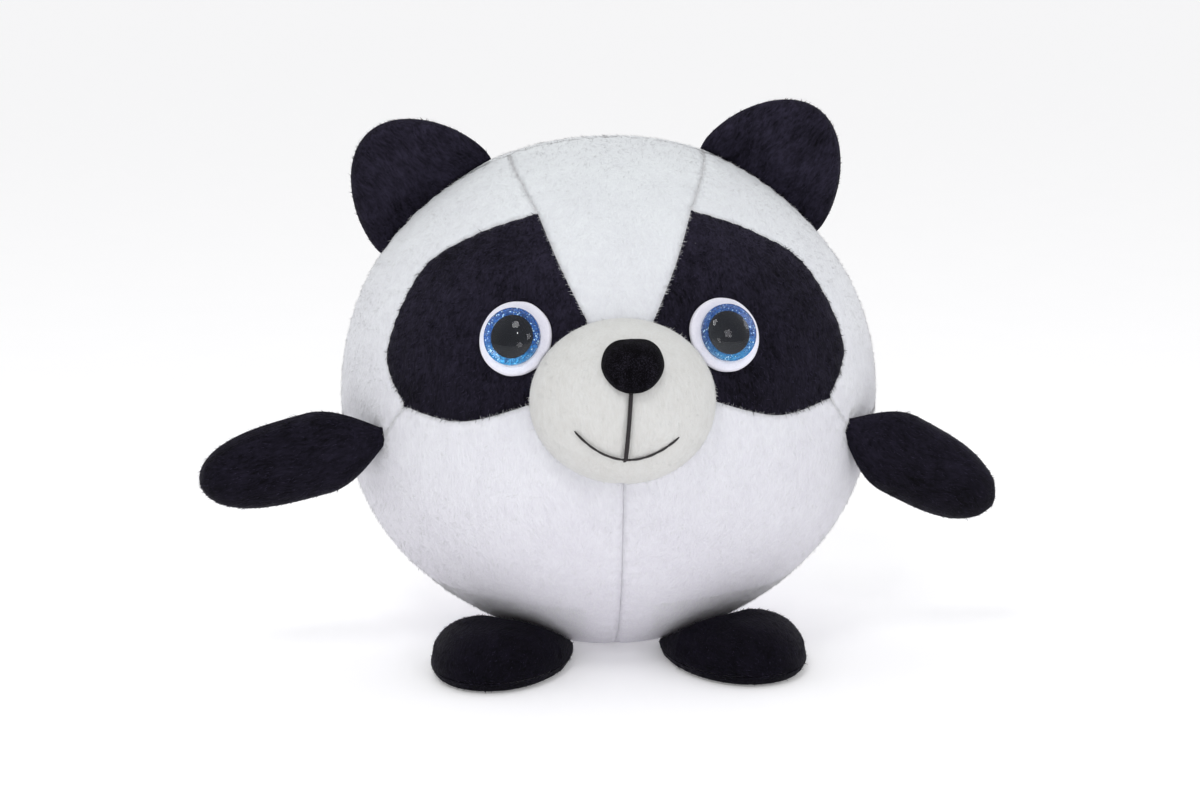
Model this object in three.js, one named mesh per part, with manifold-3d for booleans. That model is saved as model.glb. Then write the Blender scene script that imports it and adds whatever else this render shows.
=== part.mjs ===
// Plush panda: a ball-shaped soft toy sewn from plush panels over fibrefill.
// Millimetres, +Z up. The toy faces -Y and its own left side is +X.
// The origin is the middle of the flat underside that it sits on.

import * as THREE from 'three';
import { mergeVertices } from 'three/addons/utils/BufferGeometryUtils.js';
import Module from 'manifold-3d';

const wasm = await Module();
wasm.setup();

// ---------------------------------------------------------------- driving sizes

// Ball-shaped body
const bodyWidth = 200;
const bodyDepth = 192;
const bodyHeight = 190;
const baseFlattening = 3;
const skinThickness = 2.5;

// Clearances between pieces that touch on the real toy
const seamGap = 0.3;
const layerGap = 0.3;
const postClearance = 0.3;

// Panel seams, as places on the front of the body: x out from the middle, z up from its centre
const crownSeamX = 38.5;
const crownSeamDrop = 2;
const crownSeamRun = [3, 6];
const waistSeamZ = -5.5;
const waistSeamBreakX = 83;
const hiddenSeamZ = 20;
const sideSeamY = 8;
const crownDartLength = 36;
const crownDartWidth = 0.8;

// Black eye patches: their corners, and the places that their two bowed edges pass through
const patchTop = [27, 73.5];
const patchOuterBow = [[49, 65.5], [68.5, 52]];
const patchOuter = [81.6, 24];
const patchCorner = [75.2, 6.7];
const patchLow = [55, 4.4];
const patchMuzzleLow = [31, 12];
const patchMuzzleTop = [9, 35];
const patchInnerBow = [[19.5, 56]];

// Muzzle, nose and mouth
const muzzleWidth = 63;
const muzzleHeight = 56;
const muzzleDepth = 23;
const muzzleZ = 13.5;
const noseWidth = 21;
const noseHeight = 16.5;
const noseThickness = 3.2;
const noseZ = 28.5;
const noseCornerRadius = 4.5;
const mouthStitchWidth = 1.8;
const smileStitchWidth = 1;
const stitchThickness = 1;
const smileWidth = 35;
const smileRise = 8.5;
const mouthLowZ = -2.5;

// Safety eyes
const eyeX = 35.7;
const eyeZ = 33.5;
const feltDiameter = 26;
const feltThickness = 1.5;
const lensDiameter = 20;
const lensHeight = 6.5;
const lensRimHeight = 1.6;
const glitterDiameter = 19;
const glitterThickness = 0.6;
const pupilDiameter = 13.5;
const pupilThickness = 1;
const postDiameter = 4.5;
const postLength = 17;
const washerDiameter = 18;
const washerThickness = 1.6;

// Ears, sewn into the crown seam
const earWidth = 55;
const earHeight = 34;
const earThickness = 8.5;
const earNarrowing = 0.16;
const earTilt = { left: 37.5, right: 42 };
const earLift = 3;
const earRootThickness = 1.8;
const earTaperLength = 14;

// Arms, sewn into the waist seam; droop is down from level and sweep is back from sideways
const armLength = 68;
const armWidth = 30;
const armThickness = 15;
const armRootWidth = 15;
const armRootThickness = 2;
const armWideShare = 0.33;
const armThickShare = 0.5;
const armRootX = waistSeamBreakX;
const armRootZ = waistSeamZ;
const armPosture = { left: { droop: 29.5, sweep: 18 }, right: { droop: 15, sweep: 4 } };

// Feet, sewn to the underside and lying flat on the ground
const footWidth = 50;
const footLength = 73;
const footHeight = 18;
const footRootShare = 0.3;
const footFullShare = 0.8;
const footEdgeHeight = 4;
const footTuckIn = 12;
const footHingeX = 35;
const footHingeY = -22;
const footHingeZ = 3;
const footTuckUnder = 8;
const footSplay = 14;
const footFoldUp = 8;
const footFoldDown = 25;
const footFoldSteps = 4;

// Sewn roots of the limbs: the gap that lets them fold, their covers, and where the hollow starts
const limbRootGap = 1;
const limbSkin = 2;
const limbRootSeam = 8;

// Facets round the larger pieces
const bodyFacets = 36;
const muzzleFacets = 24;
const limbFacets = 16;
const roundFacets = 20;

// ---------------------------------------------------------------- plain maths

const bodyCentre = new THREE.Vector3(0, 0, bodyHeight / 2 - baseFlattening);
const bodyRadii = new THREE.Vector3(bodyWidth / 2, bodyDepth / 2, bodyHeight / 2);
const farAway = 2 * Math.max(bodyWidth, bodyDepth, bodyHeight);
const crownSeamZ = bodyRadii.z - crownSeamDrop;
const degrees = THREE.MathUtils.degToRad;
const { lerp, smoothstep } = THREE.MathUtils;

/** The y of the body's front surface at a place seen from the front. */
function bodyFrontY(x, z) {
  const share = 1 - (x / bodyRadii.x) ** 2 - (z / bodyRadii.z) ** 2;
  return -bodyRadii.y * Math.sqrt(share);
}

/** The body's surface point and outward normal at a place seen from the front. */
function bodyFrontPoint(x, z) {
  const point = new THREE.Vector3(x, bodyFrontY(x, z), z);
  const normal = point.clone().divide(bodyRadii).divide(bodyRadii).normalize();
  return { point: point.add(bodyCentre), normal };
}

/** How far the body's surface, with its facets, falls away from a flat disc laid on it. */
function sagUnder(radius) {
  const tightest = bodyRadii.z ** 2 / bodyRadii.x;
  const facetDepth = bodyRadii.x * Math.sin(Math.PI / bodyFacets) ** 2;
  return tightest - Math.sqrt(tightest ** 2 - radius ** 2) + facetDepth;
}

const sharpestMiter = 0.3;

/** Moves each point of a line sideways, keeping its corners mitred. */
function shiftedLine(points, distance, closed) {
  const count = points.length;
  return points.map((point, i) => {
    const before = points[closed ? (i + count - 1) % count : Math.max(i - 1, 0)];
    const after = points[closed ? (i + 1) % count : Math.min(i + 1, count - 1)];
    const into = point.clone().sub(before).normalize();
    const out = after.clone().sub(point).normalize();
    if (into.length() === 0) {
      into.copy(out);
    }
    if (out.length() === 0) {
      out.copy(into);
    }
    const along = into.clone().add(out).normalize();
    const miter = distance / Math.max(along.dot(out), sharpestMiter);
    return new THREE.Vector2(point.x + along.y * miter, point.y - along.x * miter);
  });
}

/** Pairs of numbers as points, mirrored to one side of the toy. */
function linePoints(pairs, side = 1) {
  return pairs.map(([x, z]) => new THREE.Vector2(side * x, z));
}

// ---------------------------------------------------------------- solids

/** A closed three.js geometry as a solid for joining and cutting. */
function solid(geometry) {
  const bare = geometry.clone();
  bare.deleteAttribute('normal');
  bare.deleteAttribute('uv');
  const merged = mergeVertices(bare, 1e-5);
  return new wasm.Manifold(new wasm.Mesh({
    numProp: 3,
    vertProperties: new Float32Array(merged.attributes.position.array),
    triVerts: new Uint32Array(merged.index.array),
  }));
}

/** A solid as a three.js geometry. */
function geometryOf(body) {
  const mesh = body.getMesh();
  const geometry = new THREE.BufferGeometry();
  geometry.setAttribute('position', new THREE.BufferAttribute(mesh.vertProperties, 3));
  geometry.setIndex(new THREE.BufferAttribute(mesh.triVerts, 1));
  geometry.computeVertexNormals();
  return geometry;
}

/** A block between two corners. */
function block(low, high) {
  const size = high.clone().sub(low);
  const middle = low.clone().add(high).multiplyScalar(0.5);
  const geometry = new THREE.BoxGeometry(size.x, size.y, size.z);
  geometry.translate(middle.x, middle.y, middle.z);
  return solid(geometry);
}

/** Everything on one side of a level: above a height, or in front of or behind a plane. */
function halfSpace(axis, from, direction) {
  const low = new THREE.Vector3(-farAway, -farAway, -farAway);
  const high = new THREE.Vector3(farAway, farAway, farAway);
  const moved = direction > 0 ? low : high;
  moved[axis] = from;
  return block(low, high);
}

/** A round solid whose unit sphere is carried to its place by a function. */
function roundSolid(facets, place) {
  const geometry = new THREE.SphereGeometry(1, facets, facets / 2);
  geometry.rotateX(Math.PI / 2);
  const spot = new THREE.Vector3();
  const positions = geometry.attributes.position;
  for (let i = 0; i < positions.count; i += 1) {
    spot.fromBufferAttribute(positions, i);
    place(spot);
    positions.setXYZ(i, spot.x, spot.y, spot.z);
  }
  return solid(geometry);
}

/** The whole ball of the body, smaller all over by an inset, as seen from a frame of its own. */
function wholeBall(inset, frame = new THREE.Matrix4()) {
  const radii = bodyRadii.clone().subScalar(inset);
  const seen = frame.clone().invert();
  return roundSolid(bodyFacets, (spot) => spot.multiply(radii).add(bodyCentre).applyMatrix4(seen));
}

/** The flat-bottomed ball of the body, smaller all over by an inset. */
function bodyBall(inset) {
  return wholeBall(inset).intersect(halfSpace('z', inset, 1));
}

/** An outline seen from the front, pushed through the body from one depth to another. */
function frontPrism(outline, backY, frontY) {
  const shape = new THREE.Shape(outline);
  const geometry = new THREE.ExtrudeGeometry(shape, { depth: backY - frontY, bevelEnabled: false });
  geometry.rotateX(Math.PI / 2);
  geometry.translate(0, backY, bodyCentre.z);
  return solid(geometry);
}

/** A lathed solid whose axis stands on a spot and points along a direction. */
function turnedSolid(profile, spot, direction, facets = roundFacets) {
  const geometry = new THREE.LatheGeometry(linePoints(profile), facets);
  const turn = new THREE.Quaternion().setFromUnitVectors(new THREE.Vector3(0, 1, 0), direction);
  geometry.applyQuaternion(turn);
  geometry.translate(spot.x, spot.y, spot.z);
  return solid(geometry);
}

/** The profile of a plain round bar between two heights. */
function barProfile(radius, low, high) {
  return [[0, low], [radius, low], [radius, high], [0, high]];
}

// ---------------------------------------------------------------- scene graph

const group = new THREE.Group();

const finishes = {
  whitePlush: { color: 0xf1f0f6, roughness: 0.95, metalness: 0 },
  creamPlush: { color: 0xf6f3f0, roughness: 0.95, metalness: 0 },
  blackPlush: { color: 0x1d1b26, roughness: 0.95, metalness: 0 },
  blackVelvet: { color: 0x0d0c10, roughness: 0.85, metalness: 0 },
  blackThread: { color: 0x121014, roughness: 0.5, metalness: 0 },
  whiteFelt: { color: 0xf2f2f4, roughness: 0.9, metalness: 0 },
  fibrefill: { color: 0xfafafa, roughness: 1, metalness: 0 },
  clearPlastic: { color: 0xd7e6f2, roughness: 0.05, metalness: 0 },
  blueGlitter: { color: 0x1f6fc0, roughness: 0.35, metalness: 0.6 },
  blackPlastic: { color: 0x08080a, roughness: 0.2, metalness: 0 },
  whitePlastic: { color: 0xe8e8e8, roughness: 0.5, metalness: 0 },
};

function addPart(name, body, finish, parent = group) {
  const mesh = new THREE.Mesh(geometryOf(body), new THREE.MeshStandardMaterial(finishes[finish]));
  mesh.name = name;
  parent.add(mesh);
}

const sides = [{ name: 'left', sign: 1 }, { name: 'right', sign: -1 }];

// ---------------------------------------------------------------- body panels

/** The outline of one eye patch: five curved edges between its corners. */
function patchOutline(side) {
  const edges = [
    { through: [patchTop, ...patchOuterBow, patchOuter, patchCorner], steps: 12, endIncluded: false },
    { through: [patchCorner, patchLow, patchMuzzleLow], steps: 5, endIncluded: true },
    { through: [patchMuzzleTop, ...patchInnerBow, patchTop], steps: 4, endIncluded: false },
  ];
  const points = edges.flatMap(({ through, steps, endIncluded }) => {
    const edge = new THREE.SplineCurve(linePoints(through)).getPoints(steps);
    return endIncluded ? edge : edge.slice(0, -1);
  });
  const mirrored = points.map((point) => new THREE.Vector2(side * point.x, point.y));
  return side > 0 ? mirrored : mirrored.reverse();
}

/** The seam from the crown seam down to the top of an eye patch. */
function crownSeamLine(side) {
  const [runX, runZ] = crownSeamRun;
  return linePoints([[crownSeamX + runX, crownSeamZ + runZ], [crownSeamX, crownSeamZ], patchTop], side);
}

/** The seam from an eye patch's lower corner to the arm root and round the side. */
function waistSeamLine(side) {
  const line = [patchCorner, [waistSeamBreakX, waistSeamZ], [farAway / 2, waistSeamZ]];
  return linePoints(line, side);
}

/** The hidden seam that runs under the muzzle between the eye patches. */
function hiddenSeamLine() {
  return linePoints([[-patchMuzzleLow[0], hiddenSeamZ], [patchMuzzleLow[0], hiddenSeamZ]]);
}

/** A thin slot along a line, as deep as the front half of the body. */
function frontSlot(line, width, backY) {
  const edge = shiftedLine(line, width / 2, false);
  const other = shiftedLine(line, -width / 2, false).reverse();
  return frontPrism([...edge, ...other], backY, -farAway / 2);
}

/** The slot round an eye patch. */
function patchSlot(side) {
  const outline = patchOutline(side);
  const [inner, outer] = [-seamGap / 2, seamGap / 2].map((distance) => (
    frontPrism(shiftedLine(outline, distance, true), 0, -farAway / 2)
  ));
  return outer.add(inner).subtract(outer.intersect(inner));
}

/** The whole skin with every seam opened. */
function openedSkin() {
  const half = seamGap / 2;
  const reach = farAway / 2;
  const waist = bodyCentre.z + waistSeamZ;
  const chin = bodyCentre.z + hiddenSeamZ;
  const slab = (low, high) => block(new THREE.Vector3(...low), new THREE.Vector3(...high));
  const seams = [
    slab([-reach, -half, waist - half], [reach, half, reach]),
    slab([-reach, sideSeamY - half, -reach], [reach, sideSeamY + half, waist + half]),
    slab([-reach, -half, waist - half], [reach, reach, waist + half]),
    slab([-half, 0, -reach], [half, reach, reach]),
    slab([-half, -reach, -reach], [half, sideSeamY, chin]),
    frontSlot(hiddenSeamLine(), seamGap, 0),
    frontSlot(crownDartLine(), crownDartWidth, 0),
  ];
  for (const { sign } of sides) {
    seams.push(frontSlot(crownSeamLine(sign), seamGap, 0));
    seams.push(frontSlot(waistSeamLine(sign), seamGap, sideSeamY));
    seams.push(patchSlot(sign));
  }
  let skin = bodyBall(0).subtract(bodyBall(skinThickness));
  for (const seam of seams) {
    skin = skin.subtract(seam);
  }
  return skin;
}

/** The dart that takes up the fullness at the top of the forehead. */
function crownDartLine() {
  const top = bodyRadii.z + skinThickness;
  const angle = crownDartLength / bodyRadii.z;
  return linePoints([[0, top], [0, bodyRadii.z * Math.cos(angle)]]);
}

function addSkin() {
  const skin = openedSkin();
  const reach = farAway / 2;
  const waist = bodyCentre.z + waistSeamZ;
  const above = halfSpace('z', waist, 1);
  const below = halfSpace('z', waist, -1);
  const patches = sides.map(({ sign }) => frontPrism(patchOutline(sign), 0, -reach));
  const face = skin.subtract(patches[0]).subtract(patches[1]);

  const [dropX] = patchMuzzleLow;
  const edgeX = crownSeamX + crownSeamRun[0];
  const forehead = linePoints([
    [-dropX, hiddenSeamZ], [dropX, hiddenSeamZ], patchTop, [crownSeamX, crownSeamZ],
    [edgeX, reach], [-edgeX, reach], [-crownSeamX, crownSeamZ], [-patchTop[0], patchTop[1]],
  ]);
  addPart('forehead_panel', face.intersect(frontPrism(forehead, 0, -reach)), 'whitePlush');

  sides.forEach(({ name, sign }, i) => {
    const temple = linePoints([patchTop, patchCorner, [waistSeamBreakX, waistSeamZ], [reach, waistSeamZ],
      [reach, reach], [edgeX, reach], [crownSeamX, crownSeamZ]], sign);
    const belly = linePoints([
      [0, -reach], [reach, -reach], [reach, waistSeamZ], [waistSeamBreakX, waistSeamZ],
      patchCorner, [dropX, hiddenSeamZ], [0, hiddenSeamZ],
    ], sign);
    const ownSide = halfSpace('x', 0, sign);
    const { point, normal } = eyeSeat(sign);
    const holeProfile = barProfile(postDiameter / 2 + postClearance, -postLength, postLength);
    const hole = turnedSolid(holeProfile, point, normal);
    addPart(`eye_patch_${name}`, skin.intersect(patches[i]).subtract(hole), 'blackPlush');
    addPart(`temple_panel_${name}`, face.intersect(frontPrism(temple, 0, -reach)), 'whitePlush');
    addPart(`belly_panel_${name}`, face.intersect(frontPrism(belly, sideSeamY, -reach)), 'whitePlush');
    const head = skin.intersect(halfSpace('y', 0, 1)).intersect(above).intersect(ownSide);
    addPart(`head_back_panel_${name}`, head, 'whitePlush');
    const back = skin.intersect(halfSpace('y', sideSeamY, 1)).intersect(below).intersect(ownSide);
    addPart(`back_panel_${name}`, back, 'whitePlush');
  });
}

/** The fibrefill in the body, with a pocket behind each eye for its washer and post. */
function addBodyStuffing() {
  let core = bodyBall(skinThickness + layerGap);
  for (const { sign } of sides) {
    const { point, normal } = eyeSeat(sign);
    const pocket = barProfile(washerDiameter / 2 + layerGap, -postLength - layerGap, 0);
    core = core.subtract(turnedSolid(pocket, point, normal));
  }
  addPart('body_stuffing', core, 'fibrefill');
}

// ---------------------------------------------------------------- muzzle, nose and mouth

/** The muzzle's ball, half sunk in the face and smaller all over by an inset. */
function muzzleBall(inset) {
  const { point, normal } = bodyFrontPoint(0, muzzleZ);
  const turn = new THREE.Quaternion().setFromUnitVectors(new THREE.Vector3(0, -1, 0), normal);
  const radii = new THREE.Vector3(muzzleWidth / 2, muzzleDepth, muzzleHeight / 2).subScalar(inset);
  return roundSolid(muzzleFacets, (spot) => {
    spot.multiply(radii).applyQuaternion(turn).add(point);
  });
}

/** The layer between two heights above the muzzle's surface. */
function muzzleLayer(low, high) {
  return muzzleBall(-high).subtract(muzzleBall(-low));
}

/** The rounded, upside-down triangle of the nose. */
function noseOutline() {
  const radius = noseCornerRadius;
  const half = noseWidth / 2 - radius;
  const top = noseZ + noseHeight / 2 - radius;
  const bottom = noseZ - noseHeight / 2 + radius;
  const shape = new THREE.Shape();
  const slope = Math.atan2(half, top - bottom);
  shape.absarc(half, top, radius, -slope, Math.PI / 2, false);
  shape.absarc(-half, top, radius, Math.PI / 2, Math.PI + slope, false);
  shape.absarc(0, bottom, radius, Math.PI + slope, 2 * Math.PI - slope, false);
  return shape.getPoints(6);
}

/** The smile: a shallow curve that rises to both ends. */
function smileCurve() {
  const half = smileWidth / 2;
  return new THREE.QuadraticBezierCurve(
    new THREE.Vector2(-half, mouthLowZ + smileRise),
    new THREE.Vector2(0, mouthLowZ - smileRise),
    new THREE.Vector2(half, mouthLowZ + smileRise),
  );
}

function addMuzzle() {
  const reach = farAway / 2;
  const seatY = bodyFrontY(0, muzzleZ);
  const face = bodyBall(-layerGap);
  const cover = muzzleBall(0).subtract(muzzleBall(skinThickness));
  addPart('muzzle_cover', cover.subtract(face), 'creamPlush');
  addPart('muzzle_stuffing', muzzleBall(skinThickness + layerGap).subtract(face), 'fibrefill');

  const nose = frontPrism(noseOutline(), seatY, -reach);
  addPart('nose', muzzleLayer(layerGap, noseThickness).intersect(nose), 'blackVelvet');

  const noseBottom = noseZ - noseHeight / 2;
  const smileEdge = smileStitchWidth / 2 + seamGap;
  const smile = smileCurve();
  const smileMiddle = smile.getPoint(0.5).y;
  const groove = linePoints([[0, noseBottom - seamGap], [0, smileMiddle + smileEdge]]);
  const stitches = muzzleLayer(layerGap, stitchThickness);
  addPart('mouth_stitch', stitches.intersect(frontSlot(groove, mouthStitchWidth, seatY)), 'blackThread');
  const smileSlot = frontSlot(smile.getPoints(muzzleFacets / 2), smileStitchWidth, seatY);
  addPart('smile_stitch', stitches.intersect(smileSlot), 'blackThread');
}

// ---------------------------------------------------------------- eyes

/** Where an eye sits on the body: a surface point and the way the eye looks. */
function eyeSeat(side) {
  return bodyFrontPoint(side * eyeX, eyeZ);
}

/** The clear dome, hollowed at its back for the pupil. */
function lensProfile(low) {
  const radius = lensDiameter / 2;
  const pocket = pupilDiameter / 2 + layerGap;
  const pocketTop = low + pupilThickness + layerGap;
  const dome = [];
  const steps = 5;
  for (let i = 0; i <= steps; i += 1) {
    const angle = (i / steps) * (Math.PI / 2);
    const height = lensRimHeight + (lensHeight - lensRimHeight) * Math.sin(angle);
    dome.push([radius * Math.cos(angle), low + height]);
  }
  dome[steps][0] = 0;
  return [[0, pocketTop], [pocket, pocketTop], [pocket, low], [radius, low], ...dome];
}

function addEyes() {
  const feltTop = layerGap + feltThickness;
  const glitterLow = feltTop + layerGap;
  const lensLow = glitterLow + glitterThickness + layerGap;
  const washerTop = -skinThickness - layerGap - sagUnder(washerDiameter / 2);
  const postHole = postDiameter / 2 + postClearance;
  const feltLayer = bodyBall(-feltTop).subtract(bodyBall(-layerGap)).subtract(muzzleBall(-layerGap));
  for (const { name, sign } of sides) {
    const { point, normal } = eyeSeat(sign);
    const disc = (radius, low, high) => turnedSolid(barProfile(radius, low, high), point, normal);
    const hole = disc(postHole, -postLength, postLength);

    const felt = feltLayer.intersect(disc(feltDiameter / 2, -lensHeight, lensHeight)).subtract(hole);
    addPart(`eye_felt_${name}`, felt, 'whiteFelt');
    const glitter = disc(glitterDiameter / 2, glitterLow, glitterLow + glitterThickness);
    addPart(`eye_glitter_disc_${name}`, glitter.subtract(hole), 'blueGlitter');
    addPart(`eye_lens_${name}`, turnedSolid(lensProfile(lensLow), point, normal), 'clearPlastic');
    const pupil = disc(pupilDiameter / 2, lensLow, lensLow + pupilThickness);
    const post = disc(postDiameter / 2, lensLow - postLength, lensLow + pupilThickness / 2);
    addPart(`eye_pupil_post_${name}`, pupil.add(post), 'blackPlastic');
    const washer = disc(washerDiameter / 2, washerTop - washerThickness, washerTop);
    addPart(`eye_washer_${name}`, washer.subtract(hole), 'whitePlastic');
  }
}

// ---------------------------------------------------------------- limbs

/**
 * A group that stands on a limb's sewn root: its x runs out along the limb, its y lies along the
 * root, which is the line that the limb folds about, and its z goes through the limb's thickness.
 */
function limbGroup(name, root, out, across) {
  const limb = new THREE.Group();
  limb.name = name;
  limb.position.copy(root);
  const turn = new THREE.Matrix4().makeBasis(out, across, out.clone().cross(across));
  limb.quaternion.setFromRotationMatrix(turn);
  limb.updateMatrix();
  group.add(limb);
  return limb;
}

/** A limb's covers, front and back of its middle plane. */
function addCovers(limb, cover, frontName, backName) {
  const half = seamGap / 2;
  addPart(frontName, cover.intersect(halfSpace('z', -half, -1)), 'blackPlush', limb);
  addPart(backName, cover.intersect(halfSpace('z', half, 1)), 'blackPlush', limb);
}

/** An ear: two plies of plush, thin where they are sewn in and plumper towards the middle. */
function addEar(name, side) {
  const tilt = degrees(earTilt[name]);
  const out = new THREE.Vector3(side * Math.sin(tilt), 0, Math.cos(tilt));
  const across = new THREE.Vector3(Math.cos(tilt), 0, -side * Math.sin(tilt));
  const surface = 1 / out.clone().divide(bodyRadii).length();
  const root = bodyCentre.clone().addScaledVector(out, surface);
  const limb = limbGroup(`ear_${name}`, root, out, across);
  const radii = new THREE.Vector3(earHeight - earLift, earWidth / 2, earThickness / 2);
  const rootShare = earRootThickness / earThickness;
  const ear = roundSolid(limbFacets, (spot) => {
    spot.multiply(radii);
    spot.x += earLift;
    spot.y *= 1 - (earNarrowing * Math.max(spot.x, 0)) / earHeight;
    spot.z *= lerp(rootShare, 1, smoothstep(spot.x, 0, earTaperLength));
  });
  const free = ear.subtract(wholeBall(-limbRootGap, limb.matrix));
  addCovers(limb, free, `ear_front_${name}`, `ear_back_${name}`);
}

/** A leaf shape for an arm, from a distance along it to its tip, smaller all over by an inset. */
function armLeaf(from, inset) {
  const rootWidth = armRootWidth / armWidth;
  const rootThickness = armRootThickness / armThickness;
  const length = armLength - inset - from;
  return roundSolid(limbFacets, (spot) => {
    const along = from + (spot.x + 1) * length / 2;
    const width = lerp(rootWidth, 1, smoothstep(along, 0, armWideShare * armLength));
    const thickness = lerp(rootThickness, 1, smoothstep(along, 0, armThickShare * armLength));
    spot.x = along;
    spot.y *= (armWidth / 2) * width - inset;
    spot.z *= (armThickness / 2) * thickness - inset;
  });
}

function addArm(name, side) {
  const droop = degrees(armPosture[name].droop);
  const sweep = degrees(armPosture[name].sweep);
  const level = Math.cos(droop);
  const out = new THREE.Vector3(side * Math.cos(sweep) * level, Math.sin(sweep) * level, -Math.sin(droop));
  const up = new THREE.Vector3(0, 0, 1).addScaledVector(out, -out.z).normalize();
  const { point } = bodyFrontPoint(side * armRootX, armRootZ);
  const limb = limbGroup(`arm_${name}`, point, out, up.multiplyScalar(-side));
  const cover = armLeaf(0, 0).subtract(armLeaf(limbRootSeam, limbSkin));
  const free = cover.subtract(wholeBall(-limbRootGap, limb.matrix));
  addCovers(limb, free, `arm_front_${name}`, `arm_back_${name}`);
  const stuffing = armLeaf(limbRootSeam + layerGap, limbSkin + layerGap);
  addPart(`arm_stuffing_${name}`, stuffing, 'fibrefill', limb);
}

/** A foot: flat below, domed above and thin at its root, from a distance behind the hinge. */
function footPad(tuck, inset) {
  const length = footLength - footTuckUnder + tuck - inset;
  const edge = footEdgeHeight - footHingeZ;
  return roundSolid(limbFacets, (spot) => {
    const along = (spot.x + 1) * length / 2 - tuck;
    const fullness = smoothstep(along + footTuckUnder, 0, footFullShare * footLength);
    const rise = spot.z > 0 ? footHeight - footEdgeHeight - inset : footTuckIn;
    spot.x = along;
    spot.y *= footWidth / 2 - inset;
    spot.z = edge + spot.z * rise * lerp(footRootShare, 1, fullness);
  });
}

/** What is left of a foot's pad that the body never touches while the foot folds up and down. */
function clearOfFold(pad, rest) {
  let free = pad;
  for (let i = 0; i <= footFoldSteps; i += 1) {
    const fold = degrees(lerp(-footFoldUp, footFoldDown, i / footFoldSteps));
    const folded = rest.clone().multiply(new THREE.Matrix4().makeRotationY(fold));
    free = free.subtract(wholeBall(-limbRootGap, folded));
  }
  return free;
}

function addFoot(name, side) {
  const splay = degrees(footSplay);
  const out = new THREE.Vector3(side * Math.sin(splay), -Math.cos(splay), 0);
  const across = new THREE.Vector3(Math.cos(splay), side * Math.sin(splay), 0);
  const root = new THREE.Vector3(side * footHingeX, footHingeY, footHingeZ);
  const limb = limbGroup(`foot_${name}`, root, out, across);
  const ground = -footHingeZ;
  const soleTop = ground + limbSkin;
  const free = clearOfFold(footPad(footTuckUnder, 0), limb.matrix);
  const sole = free.intersect(halfSpace('z', ground, 1)).intersect(halfSpace('z', soleTop, -1));
  addPart(`foot_sole_${name}`, sole, 'blackPlush', limb);
  const hollow = footPad(-limbRootSeam / 2, limbSkin);
  const upper = free.subtract(hollow).intersect(halfSpace('z', soleTop + seamGap, 1));
  addPart(`foot_upper_${name}`, upper, 'blackPlush', limb);
  const stuffing = clearOfFold(footPad(-limbRootSeam / 2 - layerGap, limbSkin + layerGap), limb.matrix);
  const filled = stuffing.intersect(halfSpace('z', soleTop + layerGap, 1));
  addPart(`foot_stuffing_${name}`, filled, 'fibrefill', limb);
}

addSkin();
addBodyStuffing();
addMuzzle();
addEyes();
for (const { name, sign } of sides) {
  addEar(name, sign);
  addArm(name, sign);
  addFoot(name, sign);
}

export default group;
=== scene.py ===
"""Plush panda: sewn plush panels, a domed muzzle, safety eyes and soft folding limbs."""

import logging
import math
from collections.abc import Callable, Sequence
from dataclasses import dataclass, field
from enum import Enum

import bmesh
import bpy
import numpy as np
from mathutils import Matrix, Vector
from mathutils.geometry import delaunay_2d_cdt
from mathutils.kdtree import KDTree


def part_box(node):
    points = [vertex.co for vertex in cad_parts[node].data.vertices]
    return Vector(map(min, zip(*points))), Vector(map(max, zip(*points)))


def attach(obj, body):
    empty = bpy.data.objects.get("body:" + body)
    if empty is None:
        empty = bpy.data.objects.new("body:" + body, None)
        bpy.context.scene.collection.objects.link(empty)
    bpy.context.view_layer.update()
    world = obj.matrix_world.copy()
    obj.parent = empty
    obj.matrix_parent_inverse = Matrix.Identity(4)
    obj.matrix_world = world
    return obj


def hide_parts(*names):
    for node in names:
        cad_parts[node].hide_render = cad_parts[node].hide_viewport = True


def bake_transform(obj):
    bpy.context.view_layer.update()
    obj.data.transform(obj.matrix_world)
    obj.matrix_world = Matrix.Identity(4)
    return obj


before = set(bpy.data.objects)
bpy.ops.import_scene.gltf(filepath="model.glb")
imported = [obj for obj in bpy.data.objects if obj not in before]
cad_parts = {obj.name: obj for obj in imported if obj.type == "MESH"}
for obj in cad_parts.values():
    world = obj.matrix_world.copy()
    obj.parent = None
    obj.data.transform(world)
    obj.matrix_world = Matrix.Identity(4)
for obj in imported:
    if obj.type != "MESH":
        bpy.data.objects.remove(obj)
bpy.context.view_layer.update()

Array = np.ndarray
Colour = tuple[float, float, float]
Place = tuple[float, float]
Value = "Shade | float | Sequence[float]"

log = logging.getLogger("plush_panda")
MM = 0.001


class Side(Enum):
    """The toy's own left and right, and the sign of x there."""

    LEFT = 1
    RIGHT = -1

    @property
    def word(self) -> str:
        """The side's name as pieces carry it."""
        return self.name.lower()


# ---------------------------------------------------------------- plain maths


def unit(vectors: Array) -> Array:
    """Scales vectors to length one.

    Args:
        vectors: One vector, or rows of them.

    Returns:
        The same vectors at length one.
    """
    length = np.linalg.norm(vectors, axis=-1, keepdims=True)
    return vectors / np.maximum(length, 1e-12)


def smooth_step(values: Array, low: float, high: float) -> Array:
    """Rises smoothly from 0 at low to 1 at high.

    Args:
        values: The numbers to grade.
        low: Where the rise starts.
        high: Where the rise ends.

    Returns:
        Numbers between 0 and 1.
    """
    share = np.clip((values - low) / (high - low), 0, 1)
    return share * share * (3 - 2 * share)


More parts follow.
